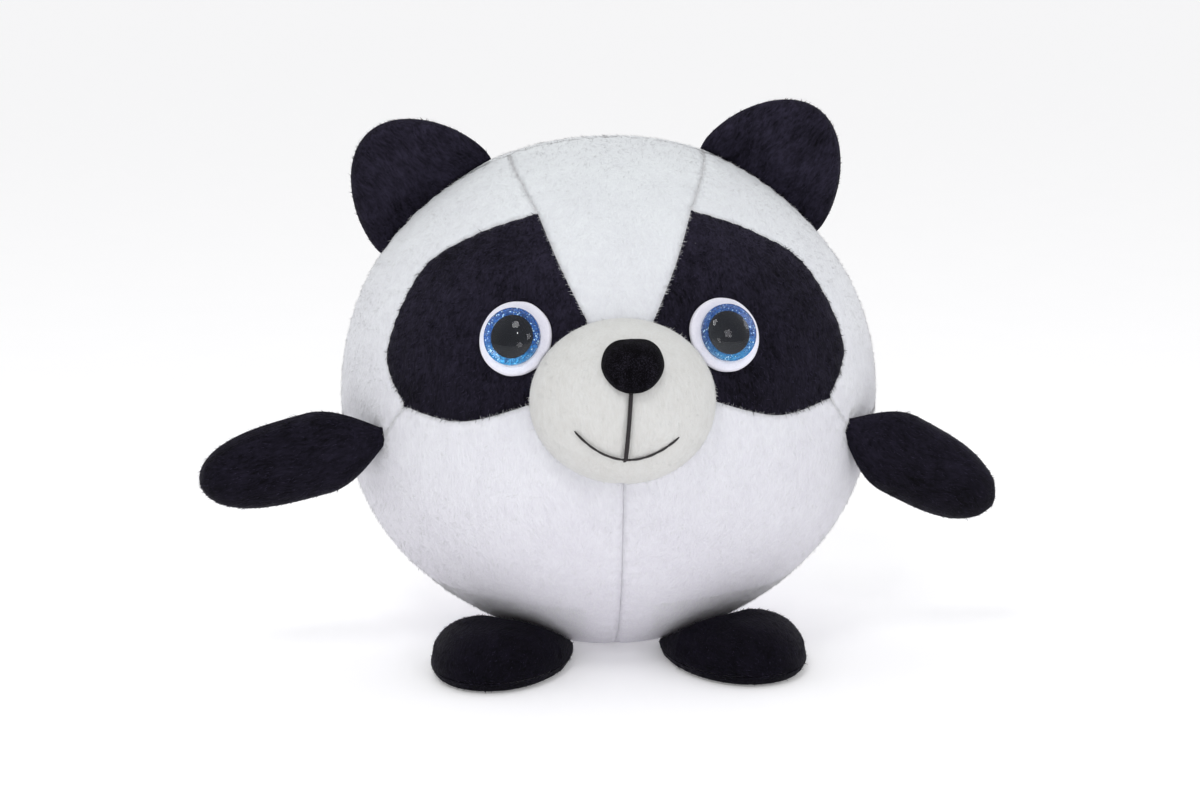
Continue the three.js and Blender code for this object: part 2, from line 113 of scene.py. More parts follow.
def spaced(line: Array, step: float) -> Array:
    """Places points evenly along a line, both ends included.

    Args:
        line: The line's points.
        step: The wanted distance between points.

    Returns:
        The evenly placed points.
    """
    lengths = np.linalg.norm(np.diff(line, axis=0), axis=1)
    travelled = np.concatenate([[0], np.cumsum(lengths)])
    count = max(int(round(travelled[-1] / step)), 1) + 1
    wanted = np.linspace(0, travelled[-1], count)
    return np.stack([np.interp(wanted, travelled, axis) for axis in line.T], 1)


def joined(lines: Sequence[Array]) -> Array:
    """Chains lines end to end into one closed outline.

    Args:
        lines: Lines that each start where the one before ends.

    Returns:
        The outline's points, each once.
    """
    return np.concatenate([line[:-1] for line in lines])


def bowed(places: Sequence[Place], steps: int = 14) -> Array:
    """Draws a smooth curve through places.

    Args:
        places: The places to pass through.
        steps: Points on each stretch between two places.

    Returns:
        The curve's points.
    """
    at = np.array(places, float)
    padded = np.concatenate([at[:1], at, at[-1:]])
    found = [at[:1]]
    share = np.linspace(0, 1, steps + 1)[1:, None]
    for before, start, end, after in zip(padded, padded[1:], padded[2:], padded[3:]):
        lead, tail = (end - before) / 2, (after - start) / 2
        cubic = (2 * start - 2 * end + lead + tail) * share**3
        square = (3 * end - 3 * start - 2 * lead - tail) * share**2
        found.append(cubic + square + lead * share + start)
    return np.concatenate(found)


def nearest(points: Array, line: Array) -> tuple[Array, Array]:
    """Finds the nearest point of a line to each point.

    Args:
        points: Rows of two or three numbers.
        line: The line's points, as many numbers each.

    Returns:
        Each point's distance, and the index of its nearest point on the line.
    """
    flat = points.shape[1] == 2
    spots = np.pad(line, ((0, 0), (0, 1))) if flat else line
    asked = np.pad(points, ((0, 0), (0, 1))) if flat else points
    tree = KDTree(len(spots))
    for index, spot in enumerate(spots.tolist()):
        tree.insert(spot, index)
    tree.balance()
    found = [tree.find(spot)[1:] for spot in asked.tolist()]
    return np.array([f[1] for f in found]), np.array([f[0] for f in found])


def inside(points: Array, outline: Array) -> Array:
    """Tells which flat points lie inside a closed outline.

    Args:
        points: Rows of x and y.
        outline: The outline's points.

    Returns:
        One truth value for each point.
    """
    x, y = points[:, :1], points[:, 1:]
    start, end = outline, np.roll(outline, -1, axis=0)
    rise = end[:, 1] - start[:, 1]
    crosses = (start[:, 1] > y) != (end[:, 1] > y)
    rise = np.where(np.abs(rise) < 1e-15, 1e-15, rise)
    at = start[:, 0] + (y - start[:, 1]) * (end[:, 0] - start[:, 0]) / rise
    return (np.sum(crosses & (x < at), axis=1) % 2) == 1


def filled(outline: Array, step: float) -> tuple[Array, list[tuple[int, ...]]]:
    """Fills a flat outline with small, even triangles.

    Args:
        outline: The outline's points, in order.
        step: The distance between the points that fill it.

    Returns:
        The points, the outline's first and in order, and the triangles.
    """
    low, high = outline.min(0), outline.max(0)
    rows = np.arange(low[1], high[1], step * math.sqrt(3) / 2)
    columns = np.arange(low[0] - step, high[0] + step, step)
    grid = np.array([(x + step / 2 * (i % 2), y) for i, y in enumerate(rows) for x in columns])
    grid = grid[inside(grid, outline)]
    grid = grid[nearest(grid, outline)[0] > 0.62 * step]
    points = np.concatenate([outline, grid])
    count = len(outline)
    edges = [(i, (i + 1) % count) for i in range(count)]
    verts, _, faces, origins, _, _ = delaunay_2d_cdt(
        [Vector(p) for p in points.tolist()], edges, [], 1, 1e-9
    )
    came_from = np.array([o[0] if o else -1 for o in origins])
    faces = [tuple(int(came_from[i]) for i in face) for face in faces]
    return points, [face for face in faces if min(face) >= 0 and len(set(face)) == 3]


def facing(points: Array, faces: Sequence[tuple[int, ...]]) -> Array:
    """Works out each point's normal from the triangles round it.

    Args:
        points: The mesh's points.
        faces: Its triangles.

    Returns:
        One normal for each point.
    """
    corners = np.array(faces)
    a, b, c = (points[corners[:, i]] for i in range(3))
    normals = np.cross(b - a, c - a)
    total = np.zeros_like(points)
    for i in range(3):
        np.add.at(total, corners[:, i], normals)
    return unit(total)


def lumps(points: Array, size: float, seed: int) -> Array:
    """Gives soft, uneven lumps between about -1 and 1.

    Args:
        points: Places in metres.
        size: The usual width of a lump.
        seed: Which set of lumps.

    Returns:
        One number for each place.
    """
    draw = np.random.default_rng(seed)
    total = np.zeros(len(points))
    waves = 7
    for _ in range(waves):
        direction = unit(draw.normal(size=3))
        turns = math.pi / size * draw.uniform(0.6, 1.4)
        total += np.sin(points @ direction * turns + draw.uniform(0, 2 * math.pi))
    return total / math.sqrt(waves)


# ---------------------------------------------------------------- meshes


def make_piece(
    name: str,
    points: Array,
    faces: Sequence[Sequence[int]],
    finishes: Sequence[bpy.types.Material],
    tones: Array | None = None,
) -> bpy.types.Object:
    """Makes one piece from points and faces.

    Args:
        name: The piece's name.
        points: Its points, in metres.
        faces: Its faces, pointing out.
        finishes: Its materials.
        tones: Which material each face wears; the first one if left out.

    Returns:
        The new object.
    """
    mesh = bpy.data.meshes.new(name)
    mesh.from_pydata(points.tolist(), [], [list(face) for face in faces])
    for finish in finishes:
        mesh.materials.append(finish)
    if tones is not None:
        mesh.polygons.foreach_set("material_index", tones.astype(np.int32))
    mesh.polygons.foreach_set("use_smooth", np.ones(len(mesh.polygons), bool))
    mesh.update()
    piece = bpy.data.objects.new(name, mesh)
    bpy.context.scene.collection.objects.link(piece)
    return piece


def open_edges(faces: Sequence[tuple[int, ...]]) -> list[tuple[int, int]]:
    """Lists the edges that only one face has, in that face's direction."""
    edges = {(a, b) for face in faces for a, b in zip(face, face[1:] + face[:1])}
    return sorted(edge for edge in edges if edge[::-1] not in edges)


def closed_shell(
    outer: Array, inner: Array, faces: list[tuple[int, ...]]
) -> tuple[Array, list[tuple[int, ...]]]:
    """Closes a sheet into a thin solid.

    Args:
        outer: The sheet's outer points.
        inner: The matching inner points.
        faces: The outer faces.

    Returns:
        The solid's points and faces.
    """
    count = len(outer)
    backs = [tuple(i + count for i in reversed(face)) for face in faces]
    rims = [(b, a, a + count, b + count) for a, b in open_edges(faces)]
    return np.concatenate([outer, inner]), faces + backs + rims


def spokes(axis: Array, steps: int) -> Array:
    """Gives the directions straight out from an axis, evenly round it.

    Args:
        axis: The axis's direction.
        steps: How many there are.

    Returns:
        The directions.
    """
    upright = abs(axis[2]) > 0.99
    first = unit(np.cross(axis, (1, 0, 0) if upright else (0, 0, 1)))
    second = np.cross(axis, first)
    turns = np.linspace(0, 2 * math.pi, steps, endpoint=False)
    return np.cos(turns)[:, None] * first + np.sin(turns)[:, None] * second


def ring_faces(rings: int, steps: int, start: int = 0) -> list[tuple[int, ...]]:
    """Joins rings of points, one after another, with triangles.

    Args:
        rings: How many rings there are.
        steps: The points in each ring.
        start: The first ring's first point.

    Returns:
        The triangles.
    """
    faces: list[tuple[int, ...]] = []
    for ring in range(rings - 1):
        a, b = start + ring * steps, start + (ring + 1) * steps
        for i in range(steps):
            j = (i + 1) % steps
            faces += [(a + i, b + i, b + j), (a + i, b + j, a + j)]
    return faces


def pillowed(edge: Array, reach: float, power: float = 2) -> Array:
    """Rounds a sheet up from its edge, from 0 there to 1.

    Args:
        edge: How far each point is from the edge.
        reach: How far in the rounding ends.
        power: How square its shoulder is.

    Returns:
        The share of the full height at each point.
    """
    share = np.clip(edge / reach, 0, 1)
    return np.sqrt(1 - (1 - share) ** power)


def lathe(
    profile: Sequence[Place], spot: Array, direction: Array, steps: int = 128
) -> tuple[Array, list[tuple[int, ...]]]:
    """Turns a profile about an axis.

    Args:
        profile: Radius and height pairs; both ends on the axis, or closed round a ring.
        spot: The axis's foot.
        direction: The axis's direction.
        steps: Facets round it.

    Returns:
        The points and faces.
    """
    round_it = spokes(direction, steps)
    points: list[Array] = []
    rings: list[list[int]] = []
    for radius, height in profile:
        start = sum(len(p) for p in points)
        middle = spot + height * direction
        on_axis = radius < 1e-9
        points.append(middle[None] if on_axis else middle + radius * round_it)
        rings.append([start] * steps if on_axis else list(range(start, start + steps)))
    closes = profile[0][0] > 1e-9
    pairs = list(zip(rings, rings[1:] + (rings[:1] if closes else [])))
    faces = []
    for low, high in pairs:
        for i in range(steps):
            j = (i + 1) % steps
            face = list(dict.fromkeys([low[i], low[j], high[j], high[i]]))
            if len(face) > 2:
                faces.append(tuple(face))
    return np.concatenate(points), faces


def face_out(piece: bpy.types.Object, crease: float = 40.0) -> None:
    """Turns every face of a closed piece to point out, and keeps its sharp edges crisp.

    Args:
        piece: The piece.
        crease: The angle in degrees above which an edge is sharp.
    """
    shape = bmesh.new()
    shape.from_mesh(piece.data)
    bmesh.ops.recalc_face_normals(shape, faces=shape.faces)
    shape.to_mesh(piece.data)
    shape.free()
    piece.data.set_sharp_from_angle(angle=math.radians(crease))


@dataclass
class Inflation:
    """Air pressure in a sewn blank: cloth that is pinned at its root and swells."""

    pressure: float = 4.0
    frames: int = 14
    cap: float = 2.6 * MM
    stiffness: float = 12.0

    def swell(self, points: Array, faces: list[tuple[int, ...]], held: Array) -> Array:
        """Runs the cloth and gives back the swollen points.

        Args:
            points: The closed blank's points.
            faces: Its faces.
            held: How firmly each point is pinned, from 0 to 1.

        Returns:
            The points after swelling, none moved further than the cap.
        """
        scene = bpy.context.scene
        blank = make_piece("swelling_blank", points, faces, [])
        pins = blank.vertex_groups.new(name="held")
        for index in np.nonzero(held > 0)[0].tolist():
            pins.add([index], float(held[index]), "REPLACE")
        cloth = blank.modifiers.new("Cloth", "CLOTH")
        settings = cloth.settings
        settings.quality = 6
        settings.mass = 0.2
        settings.tension_stiffness = self.stiffness
        settings.compression_stiffness = self.stiffness
        settings.shear_stiffness = self.stiffness / 3
        settings.bending_stiffness = 0.3
        settings.use_pressure = True
        settings.uniform_pressure_force = self.pressure
        settings.effector_weights.gravity = 0
        settings.vertex_group_mass = pins.name
        cloth.collision_settings.use_collision = False
        cloth.point_cache.frame_start = 1
        cloth.point_cache.frame_end = self.frames
        for number in range(1, self.frames + 1):
            scene.frame_set(number)
        shown = blank.evaluated_get(bpy.context.evaluated_depsgraph_get())
        swollen = np.array([v.co for v in shown.data.vertices], float)
        scene.frame_set(1)
        bpy.data.objects.remove(blank)
        moved = swollen - points
        far = np.linalg.norm(moved, axis=1, keepdims=True)
        return points + moved * np.minimum(1, self.cap / np.maximum(far, 1e-9))


# ---------------------------------------------------------------- shader expressions


class Shade:
    """A number, colour or vector in a material, written as a Python expression."""

    def __init__(self, bench: "Bench", socket: bpy.types.NodeSocket) -> None:
        """Wraps one socket of one bench."""
        self.bench = bench
        self.socket = socket

    def _join(self, operation: str, first: Value, second: Value) -> "Shade":
        """Adds the Math or Vector Math node of one operation.

        Args:
            operation: The node's operation.
            first: Its first value.
            second: Its second value.

        Returns:
            The result.
        """
        flat = all(
            isinstance(v, (int, float)) or isinstance(v, Shade) and v.socket.type == "VALUE"
            for v in (first, second)
        )
        kind = "ShaderNodeMath" if flat else "ShaderNodeVectorMath"
        if not flat:
            first, second = (
                (v, v, v) if isinstance(v, (int, float)) else v for v in (first, second)
            )
        return self.bench.node(kind, {"operation": operation}, {0: first, 1: second})

    def __add__(self, other: Value) -> "Shade":
        """Adds."""
        return self._join("ADD", self, other)

    __radd__ = __add__

    def __sub__(self, other: Value) -> "Shade":
        """Takes away."""
        return self._join("SUBTRACT", self, other)

    def __rsub__(self, other: Value) -> "Shade":
        """Takes this away from something."""
        return self._join("SUBTRACT", other, self)

    def __mul__(self, other: Value) -> "Shade":
        """Multiplies."""
        return self._join("MULTIPLY", self, other)

    __rmul__ = __mul__

    def dot(self, direction: Sequence[float]) -> "Shade":
        """Measures how far along a direction this vector reaches."""
        sockets = {0: self, 1: tuple(direction)}
        return self.bench.node("ShaderNodeVectorMath", {"operation": "DOT_PRODUCT"}, sockets, "Value")

    def ramp(self, *stops: tuple[float, float]) -> "Shade":
        """Grades this number through stops of position and value."""
        shades = [(at, (value, value, value, 1)) for at, value in stops]
        return self.bench.node("ShaderNodeValToRGB", {"stops": shades}, {"Fac": self})

    def blend(self, low: Value, high: Value) -> "Shade":
        """Mixes two colours, with this number as the share of the second."""
        return self.bench.node("ShaderNodeMix", {"data_type": "RGBA"}, {0: self, 6: low, 7: high}, 2)


class Bench:
    """The node tree of one material, and the ways to add to it."""

    def __init__(self, name: str, world: bpy.types.World | None = None) -> None:
        """Starts the empty nodes of a new material, or of a world."""
        self.owner = world or bpy.data.materials.new(name)
        self.owner.use_nodes = True
        self.tree = self.owner.node_tree
        self.tree.nodes.clear()

    def node(
        self,
        kind: str,
        settings: dict[str, object] | None = None,
        inputs: dict[str | int, Value] | None = None,
        output: str | int = 0,
    ) -> Shade:
        """Adds a node.

        Args:
            kind: The node's type.
            settings: Its settings, set first; "stops" are a ramp's stops.
            inputs: The values or links of its sockets.
            output: Which output to give back.

        Returns:
            That output, or the input of a node that has none.
        """
        made = self.tree.nodes.new(kind)
        for key, value in (settings or {}).items():
            if key == "stops":
                self._set_stops(made, value)
            else:
                setattr(made, key, value)
        for key, value in (inputs or {}).items():
            socket = made.inputs[key]
            if isinstance(value, Shade):
                self.tree.links.new(value.socket, socket)
            elif socket.type == "RGBA":
                socket.default_value = (*value[:3], 1)
            else:
                socket.default_value = value
        return Shade(self, made.outputs[output] if len(made.outputs) else made.inputs[0])

    @staticmethod
    def _set_stops(ramp: bpy.types.Node, stops: Sequence[tuple[float, Sequence[float]]]) -> None:
        """Sets a ramp's stops."""
        elements = ramp.color_ramp.elements
        for index, (position, colour) in enumerate(stops):
            stop = elements[index] if index < len(elements) else elements.new(position)
            stop.position = position
            stop.color = colour

    def place(self) -> Shade:
        """The point's own place in metres."""
        return self.node("ShaderNodeTexCoord", output="Object")

    def noise(self, at: Shade, size: float, detail: float = 3.0, rough: float = 0.55) -> Shade:
        """Soft noise whose grains are about one size.

        Args:
            at: Where the noise is read.
            size: The grains' width in metres.
            detail: How many finer layers it has.
            rough: How strong those are.

        Returns:
            A number from 0 to 1.
        """
        inputs = {"Vector": at, "Scale": 1 / size, "Detail": detail, "Roughness": rough}
        return self.node("ShaderNodeTexNoise", None, inputs)

    def cells(self, at: Shade, size: float, output: str) -> Shade:
        """Scattered cells about one size across."""
        return self.node("ShaderNodeTexVoronoi", None, {"Vector": at, "Scale": 1 / size}, output)

    def bump(self, height: Shade, depth: float, strength: float = 1.0) -> Shade:
        """A normal that follows a height.

        Args:
            height: The height, from 0 to 1.
            depth: What a height of 1 stands for, in metres.
            strength: How much of it shows.

        Returns:
            The normal.
        """
        inputs = {"Height": height, "Distance": depth, "Strength": strength}
        return self.node("ShaderNodeBump", None, inputs)

    def close(self, surface: Shade) -> bpy.types.Material | bpy.types.World:
        """Links a surface to the tree's output and gives back what the tree belongs to."""
        kind = "World" if isinstance(self.owner, bpy.types.World) else "Material"
        self.node(f"ShaderNodeOutput{kind}", None, {"Surface": surface})
        return self.owner

    def coat(self, inputs: dict[str | int, Value]) -> bpy.types.Material:
        """Ends the material with one surface that has these inputs."""
        return self.close(self.node("ShaderNodeBsdfPrincipled", None, inputs))


def stretched(at: Shade, comb: Sequence[float], stretch: float) -> Shade:
    """Draws a pattern out along a direction.

    Args:
        at: Where the pattern is read.
        comb: The direction that the fibres lie in.
        stretch: How many times longer the pattern is along it.

    Returns:
        Where to read the drawn-out pattern.
    """
    shrink = 1 - 1 / stretch
    return at - at.dot(comb) * tuple(c * shrink for c in comb)


# ---------------------------------------------------------------- finishes


@dataclass(frozen=True)
class Plush:
    """Short knitted pile, combed one way, with streaks, clumps and a soft sheen, and with shade and light
    painted into its colour by height and by which way a face looks.
    """

    name: str
    pale: Colour
    deep: Colour
    # Painted shade and light: colour multipliers at the bottom and at the top, blended by height.
    shade_at_bottom: Colour
    light_at_top: Colour
    sheen: float
    sheen_tint: Colour
    relief: float = 0.42 * MM
    lint: float = 0.0
    fleck: float = 1.0
    gloss: float = 0.12
    roughness: float = 0.95
    # Painted light and shade: how much lighter faces that look up are made, and darker those that look down.
    upward: float = 0.0
    tones: tuple[float, ...] = (0.97, 0.99, 1.0, 1.02)

    def material(self, comb: Sequence[float], top: float) -> bpy.types.Material:
        """Colours the cloth, with shade painted darker towards the bottom and light painted towards the top.

        Args:
            comb: The direction that the pile lies in.
            top: The toy's height, over which the painted shade and light change.

        Returns:
            The material.
        """
        bench = Bench(self.name)
        at = bench.place()
        swirl = bench.node("ShaderNodeTexNoise", None, {"Vector": at, "Scale": 45.0}, "Color")
        bent = at + (swirl - 0.5) * (9 * MM)
        lain = stretched(bent, comb, 3.4)
        strands = bench.noise(lain, 0.9 * MM, 3.0, 0.62)
        clumps = bench.noise(stretched(bent, comb, 1.8), 3.4 * MM, 3.0, 0.6)
        patches = bench.noise(at, 24 * MM, 2.0, 0.5)
        height = strands * 0.6 + clumps * 0.4
        shade = (height * 0.72 + patches * 0.28).ramp((0.36, 0.0), (0.62, 1.0))
        # Painted shade and light: the colour is darkened towards the bottom and kept or cooled towards the
        # top, by height.
        tint = (at.dot((0, 0, 1 / top))).ramp((0.1, 0.0), (0.95, 1.0)).blend(self.shade_at_bottom, self.light_at_top)
        colour = shade.blend(self.deep, self.pale) * tint
        # Painted light and shade: faces that look up and forward are made lighter, faces that look down
        # darker.
        if self.upward > 0:
            light_from_above = bench.node("ShaderNodeNewGeometry", output="Normal").dot((0, -0.3, 0.7))
            colour = colour * (light_from_above * self.upward + 1.0)
        if self.lint > 0:
            specks = bench.cells(at, 19 * MM, "Distance").ramp((0.0, 1.0), (0.014, 1.0), (0.022, 0.0))
            colour = (specks * self.lint).blend(colour, (0.75, 0.74, 0.78))
        inputs = {
            "Base Color": colour,
            "Roughness": self.roughness,
            "Specular IOR Level": self.gloss,
            "Sheen Weight": self.sheen,
            "Sheen Roughness": 0.45,
            "Sheen Tint": self.sheen_tint,
            "Normal": bench.bump(height, self.relief),
        }
        return bench.coat(inputs)

    def strands(self) -> list[bpy.types.Material]:
        """Makes the plain tones of single tufts, from dark to light."""
        found = []
        for index, tone in enumerate(self.tones):
            bench = Bench(f"{self.name}_tuft_{index + 1}")
            share = index / (len(self.tones) - 1)
            rise = 1 - self.fleck * (1 - share)
            middle = [d + (p - d) * rise for d, p in zip(self.deep, self.pale)]
            colour = tuple(min(m * tone, 0.97) for m in middle)
            inputs = {
                "Base Color": colour,
                "Roughness": self.roughness,
                "Specular IOR Level": self.gloss,
                "Sheen Weight": self.sheen,
                "Sheen Tint": self.sheen_tint,
            }
            found.append(bench.coat(inputs))
        return found


@dataclass(frozen=True)
class Felt:
    """Pressed felt: short matted fibres with no direction."""

    name: str = "white_felt"
    pale: Colour = (0.87, 0.86, 0.94)
    deep: Colour = (0.76, 0.75, 0.85)

    def material(self) -> bpy.types.Material:
        """Makes the material."""
        bench = Bench(self.name)
        at = bench.place()
        mat = bench.noise(at, 0.5 * MM, 4.0, 0.65)
        broad = bench.noise(at, 5 * MM, 2.0)
        colour = (mat * 0.7 + broad * 0.3).ramp((0.3, 0.0), (0.62, 1.0)).blend(self.deep, self.pale)
        inputs = {
            "Base Color": colour,
            "Roughness": 0.9,
            "Sheen Weight": 0.25,
            "Normal": bench.bump(mat, 0.25 * MM),
        }
        return bench.coat(inputs)


@dataclass(frozen=True)
class Velvet:
    """Dense black flock, with a broad highlight painted into its colour as lighter flecks."""

    name: str = "black_velvet"
    colour: Colour = (0.0015, 0.0012, 0.002)
    # Painted highlight: the lighter colour of the flecks in the flock.
    painted_highlight: Colour = (0.03, 0.027, 0.04)

    def material(self) -> bpy.types.Material:
        """Makes the material."""
        bench = Bench(self.name)
        at = bench.place()
        flock = bench.noise(at, 0.35 * MM, 3.0, 0.6)
        brushed = bench.noise(at, 4 * MM, 2.0)
        # Painted highlight: flecks of the lighter colour blended into the black.
        colour = (flock * 0.75 + brushed * 0.25).ramp((0.5, 0.0), (0.72, 1.0)).blend(self.colour, self.painted_highlight)
        inputs = {
            "Base Color": colour,
            "Roughness": 0.75,
            "Specular IOR Level": 0.04,
            "Sheen Weight": 0.01,
            "Sheen Roughness": 0.3,
            "Normal": bench.bump(flock, 0.3 * MM),
        }
        return bench.coat(inputs)


@dataclass(frozen=True)
class Thread:
    """Twisted embroidery thread."""

    name: str
    colour: Colour
    glint: Colour

    def material(self) -> bpy.types.Material:
        """Makes the material."""
        bench = Bench(self.name)
        at = bench.place()
        twist = bench.noise(stretched(at, (0.7071, 0, 0.7071), 3.0), 0.22 * MM, 2.0)
        colour = twist.ramp((0.4, 0.0), (0.7, 1.0)).blend(self.colour, self.glint)
        inputs = {
            "Base Color": colour,
            "Roughness": 0.5,
            "Normal": bench.bump(twist, 0.15 * MM),
        }
        return bench.coat(inputs)


@dataclass(frozen=True)
class Glitter:
    """Foil flakes set at small tilts, deep blue above and paler below, the paler lower half painted light,
    and a few flakes painted pale as glints.
    """

    name: str = "blue_glitter"
    flake: float = 0.3 * MM
    tilt: float = 0.7

    def material(self, middle: float, radius: float) -> bpy.types.Material:
        """Makes the material.

        Args:
            middle: The height of the disc's centre.
            radius: The disc's radius.

        Returns:
            The material.
        """
        bench = Bench(self.name)
        at = bench.place()
        chance = bench.cells(at, self.flake, "Color")
        pick = chance.dot((1, 0, 0))
        sparkle = chance.dot((0, 1, 0))
        rise = at.dot((0, 0, 1 / radius)) - middle / radius
        # Painted light: the lower half of the disc is paler, the upper half deeper blue.
        low = (rise * 0.5 + 0.5).ramp((0.12, 1.0), (0.5, 0.0))
        deep = pick.ramp((0.0, 0.0), (1.0, 1.0)).blend((0.0, 0.016, 0.09), (0.003, 0.11, 0.42))
        pale = pick.ramp((0.0, 0.0), (1.0, 1.0)).blend((0.004, 0.12, 0.36), (0.04, 0.38, 0.66))
        # Painted glints: a few flakes are coloured pale.
        bright = sparkle.ramp((0.93, 0.0), (0.96, 1.0))
        colour = bright.blend(low.blend(deep, pale), (0.62, 0.86, 0.97))
        plain = bench.node("ShaderNodeNewGeometry", output="Normal")
        leaning = plain + (chance - 0.5) * self.tilt
        normal = bench.node("ShaderNodeVectorMath", {"operation": "NORMALIZE"}, {0: leaning})
        inputs = {
            "Base Color": colour,
            "Metallic": 0.55,
            "Roughness": sparkle * 0.25 + 0.22,
            "Normal": normal,
        }
        return bench.coat(inputs)


@dataclass(frozen=True)
class Lens:
    """Clear cast plastic that lets lamps through to what lies behind it."""

    name: str = "clear_plastic"
    tint: Colour = (0.93, 0.97, 1.0)

    def material(self) -> bpy.types.Material:
        """Makes the material."""
        bench = Bench(self.name)
        inputs = {
            "Base Color": self.tint,
            "Roughness": 0.015,
            "IOR": 1.3,
            "Specular IOR Level": 0.4,
            "Transmission Weight": 1.0,
        }
        glass = bench.node("ShaderNodeBsdfPrincipled", None, inputs)
        open_way = bench.node("ShaderNodeBsdfTransparent", None, {"Color": self.tint})
        shadow = bench.node("ShaderNodeLightPath", output="Is Shadow Ray")
        return bench.close(bench.node("ShaderNodeMixShader", None, {0: shadow, 1: glass, 2: open_way}))


@dataclass(frozen=True)
class Moulded:
    """Moulded plastic with faint flow marks."""

    name: str
    colour: Colour
    roughness: float

    def material(self) -> bpy.types.Material:
        """Makes the material."""
        bench = Bench(self.name)
        at = bench.place()
        flow = bench.noise(at, 3 * MM, 3.0)
        pale = tuple(min(c * 1.25 + 0.002, 1) for c in self.colour)
        inputs = {
            "Base Color": flow.blend(self.colour, pale),
            "Roughness": flow * 0.12 + self.roughness,
            "Specular IOR Level": 0.3,
            "Normal": bench.bump(bench.noise(at, 0.6 * MM, 2.0), 0.001 * MM),
        }
        return bench.coat(inputs)


@dataclass(frozen=True)
class Fibrefill:
    """Loose polyester stuffing."""

    name: str = "fibrefill"

    def material(self) -> bpy.types.Material:
        """Makes the material."""
        bench = Bench(self.name)
        at = bench.place()
        tangle = bench.noise(at, 2 * MM, 5.0, 0.7)
        colour = tangle.ramp((0.3, 0.0), (0.7, 1.0)).blend((0.78, 0.78, 0.8), (0.95, 0.95, 0.95))
        inputs = {
            "Base Color": colour,
            "Roughness": 1.0,
            "Normal": bench.bump(tangle, 1.2 * MM),
        }
        return bench.coat(inputs)


WHITE = Plush(
    "white_plush",
    pale=(0.815, 0.82, 0.835),
    deep=(0.735, 0.73, 0.76),
    # Painted shade: a faint lavender darkening at the bottom; painted light: a faint cool tint at the top.
    shade_at_bottom=(0.97, 0.945, 1.0),
    light_at_top=(0.965, 1.0, 1.0),
    sheen=0.2,
    sheen_tint=(1.0, 1.0, 1.0),
    fleck=0.2,
)
CREAM = Plush(
    "cream_plush",
    pale=(0.70, 0.705, 0.70),
    deep=(0.635, 0.63, 0.615),
    # Painted shade: a faint warm darkening at the bottom; painted light: a faint tint at the top.
    shade_at_bottom=(1.0, 0.975, 0.965),
    light_at_top=(0.985, 1.0, 0.985),
    sheen=0.2,
    sheen_tint=(1.0, 1.0, 1.0),
    fleck=0.5,
)
BLACK = Plush(
    "black_plush",
    pale=(0.023, 0.020, 0.036),
    deep=(0.0016, 0.0013, 0.003),
    # Painted shade: the bottom darkened to about a fifth of the colour.
    shade_at_bottom=(0.22, 0.2, 0.25),
    light_at_top=(1.0, 1.0, 1.0),
    sheen=0.03,
    sheen_tint=(0.55, 0.52, 0.75),
    relief=0.9 * MM,
    lint=0.3,
    gloss=0.06,
    roughness=0.7,
    # Painted light and shade: faces that look up lighter, faces that look down darker.
    upward=0.35,
    fleck=0.9,
    tones=(0.8, 0.9, 1.0, 1.3),
)


# ---------------------------------------------------------------- pile


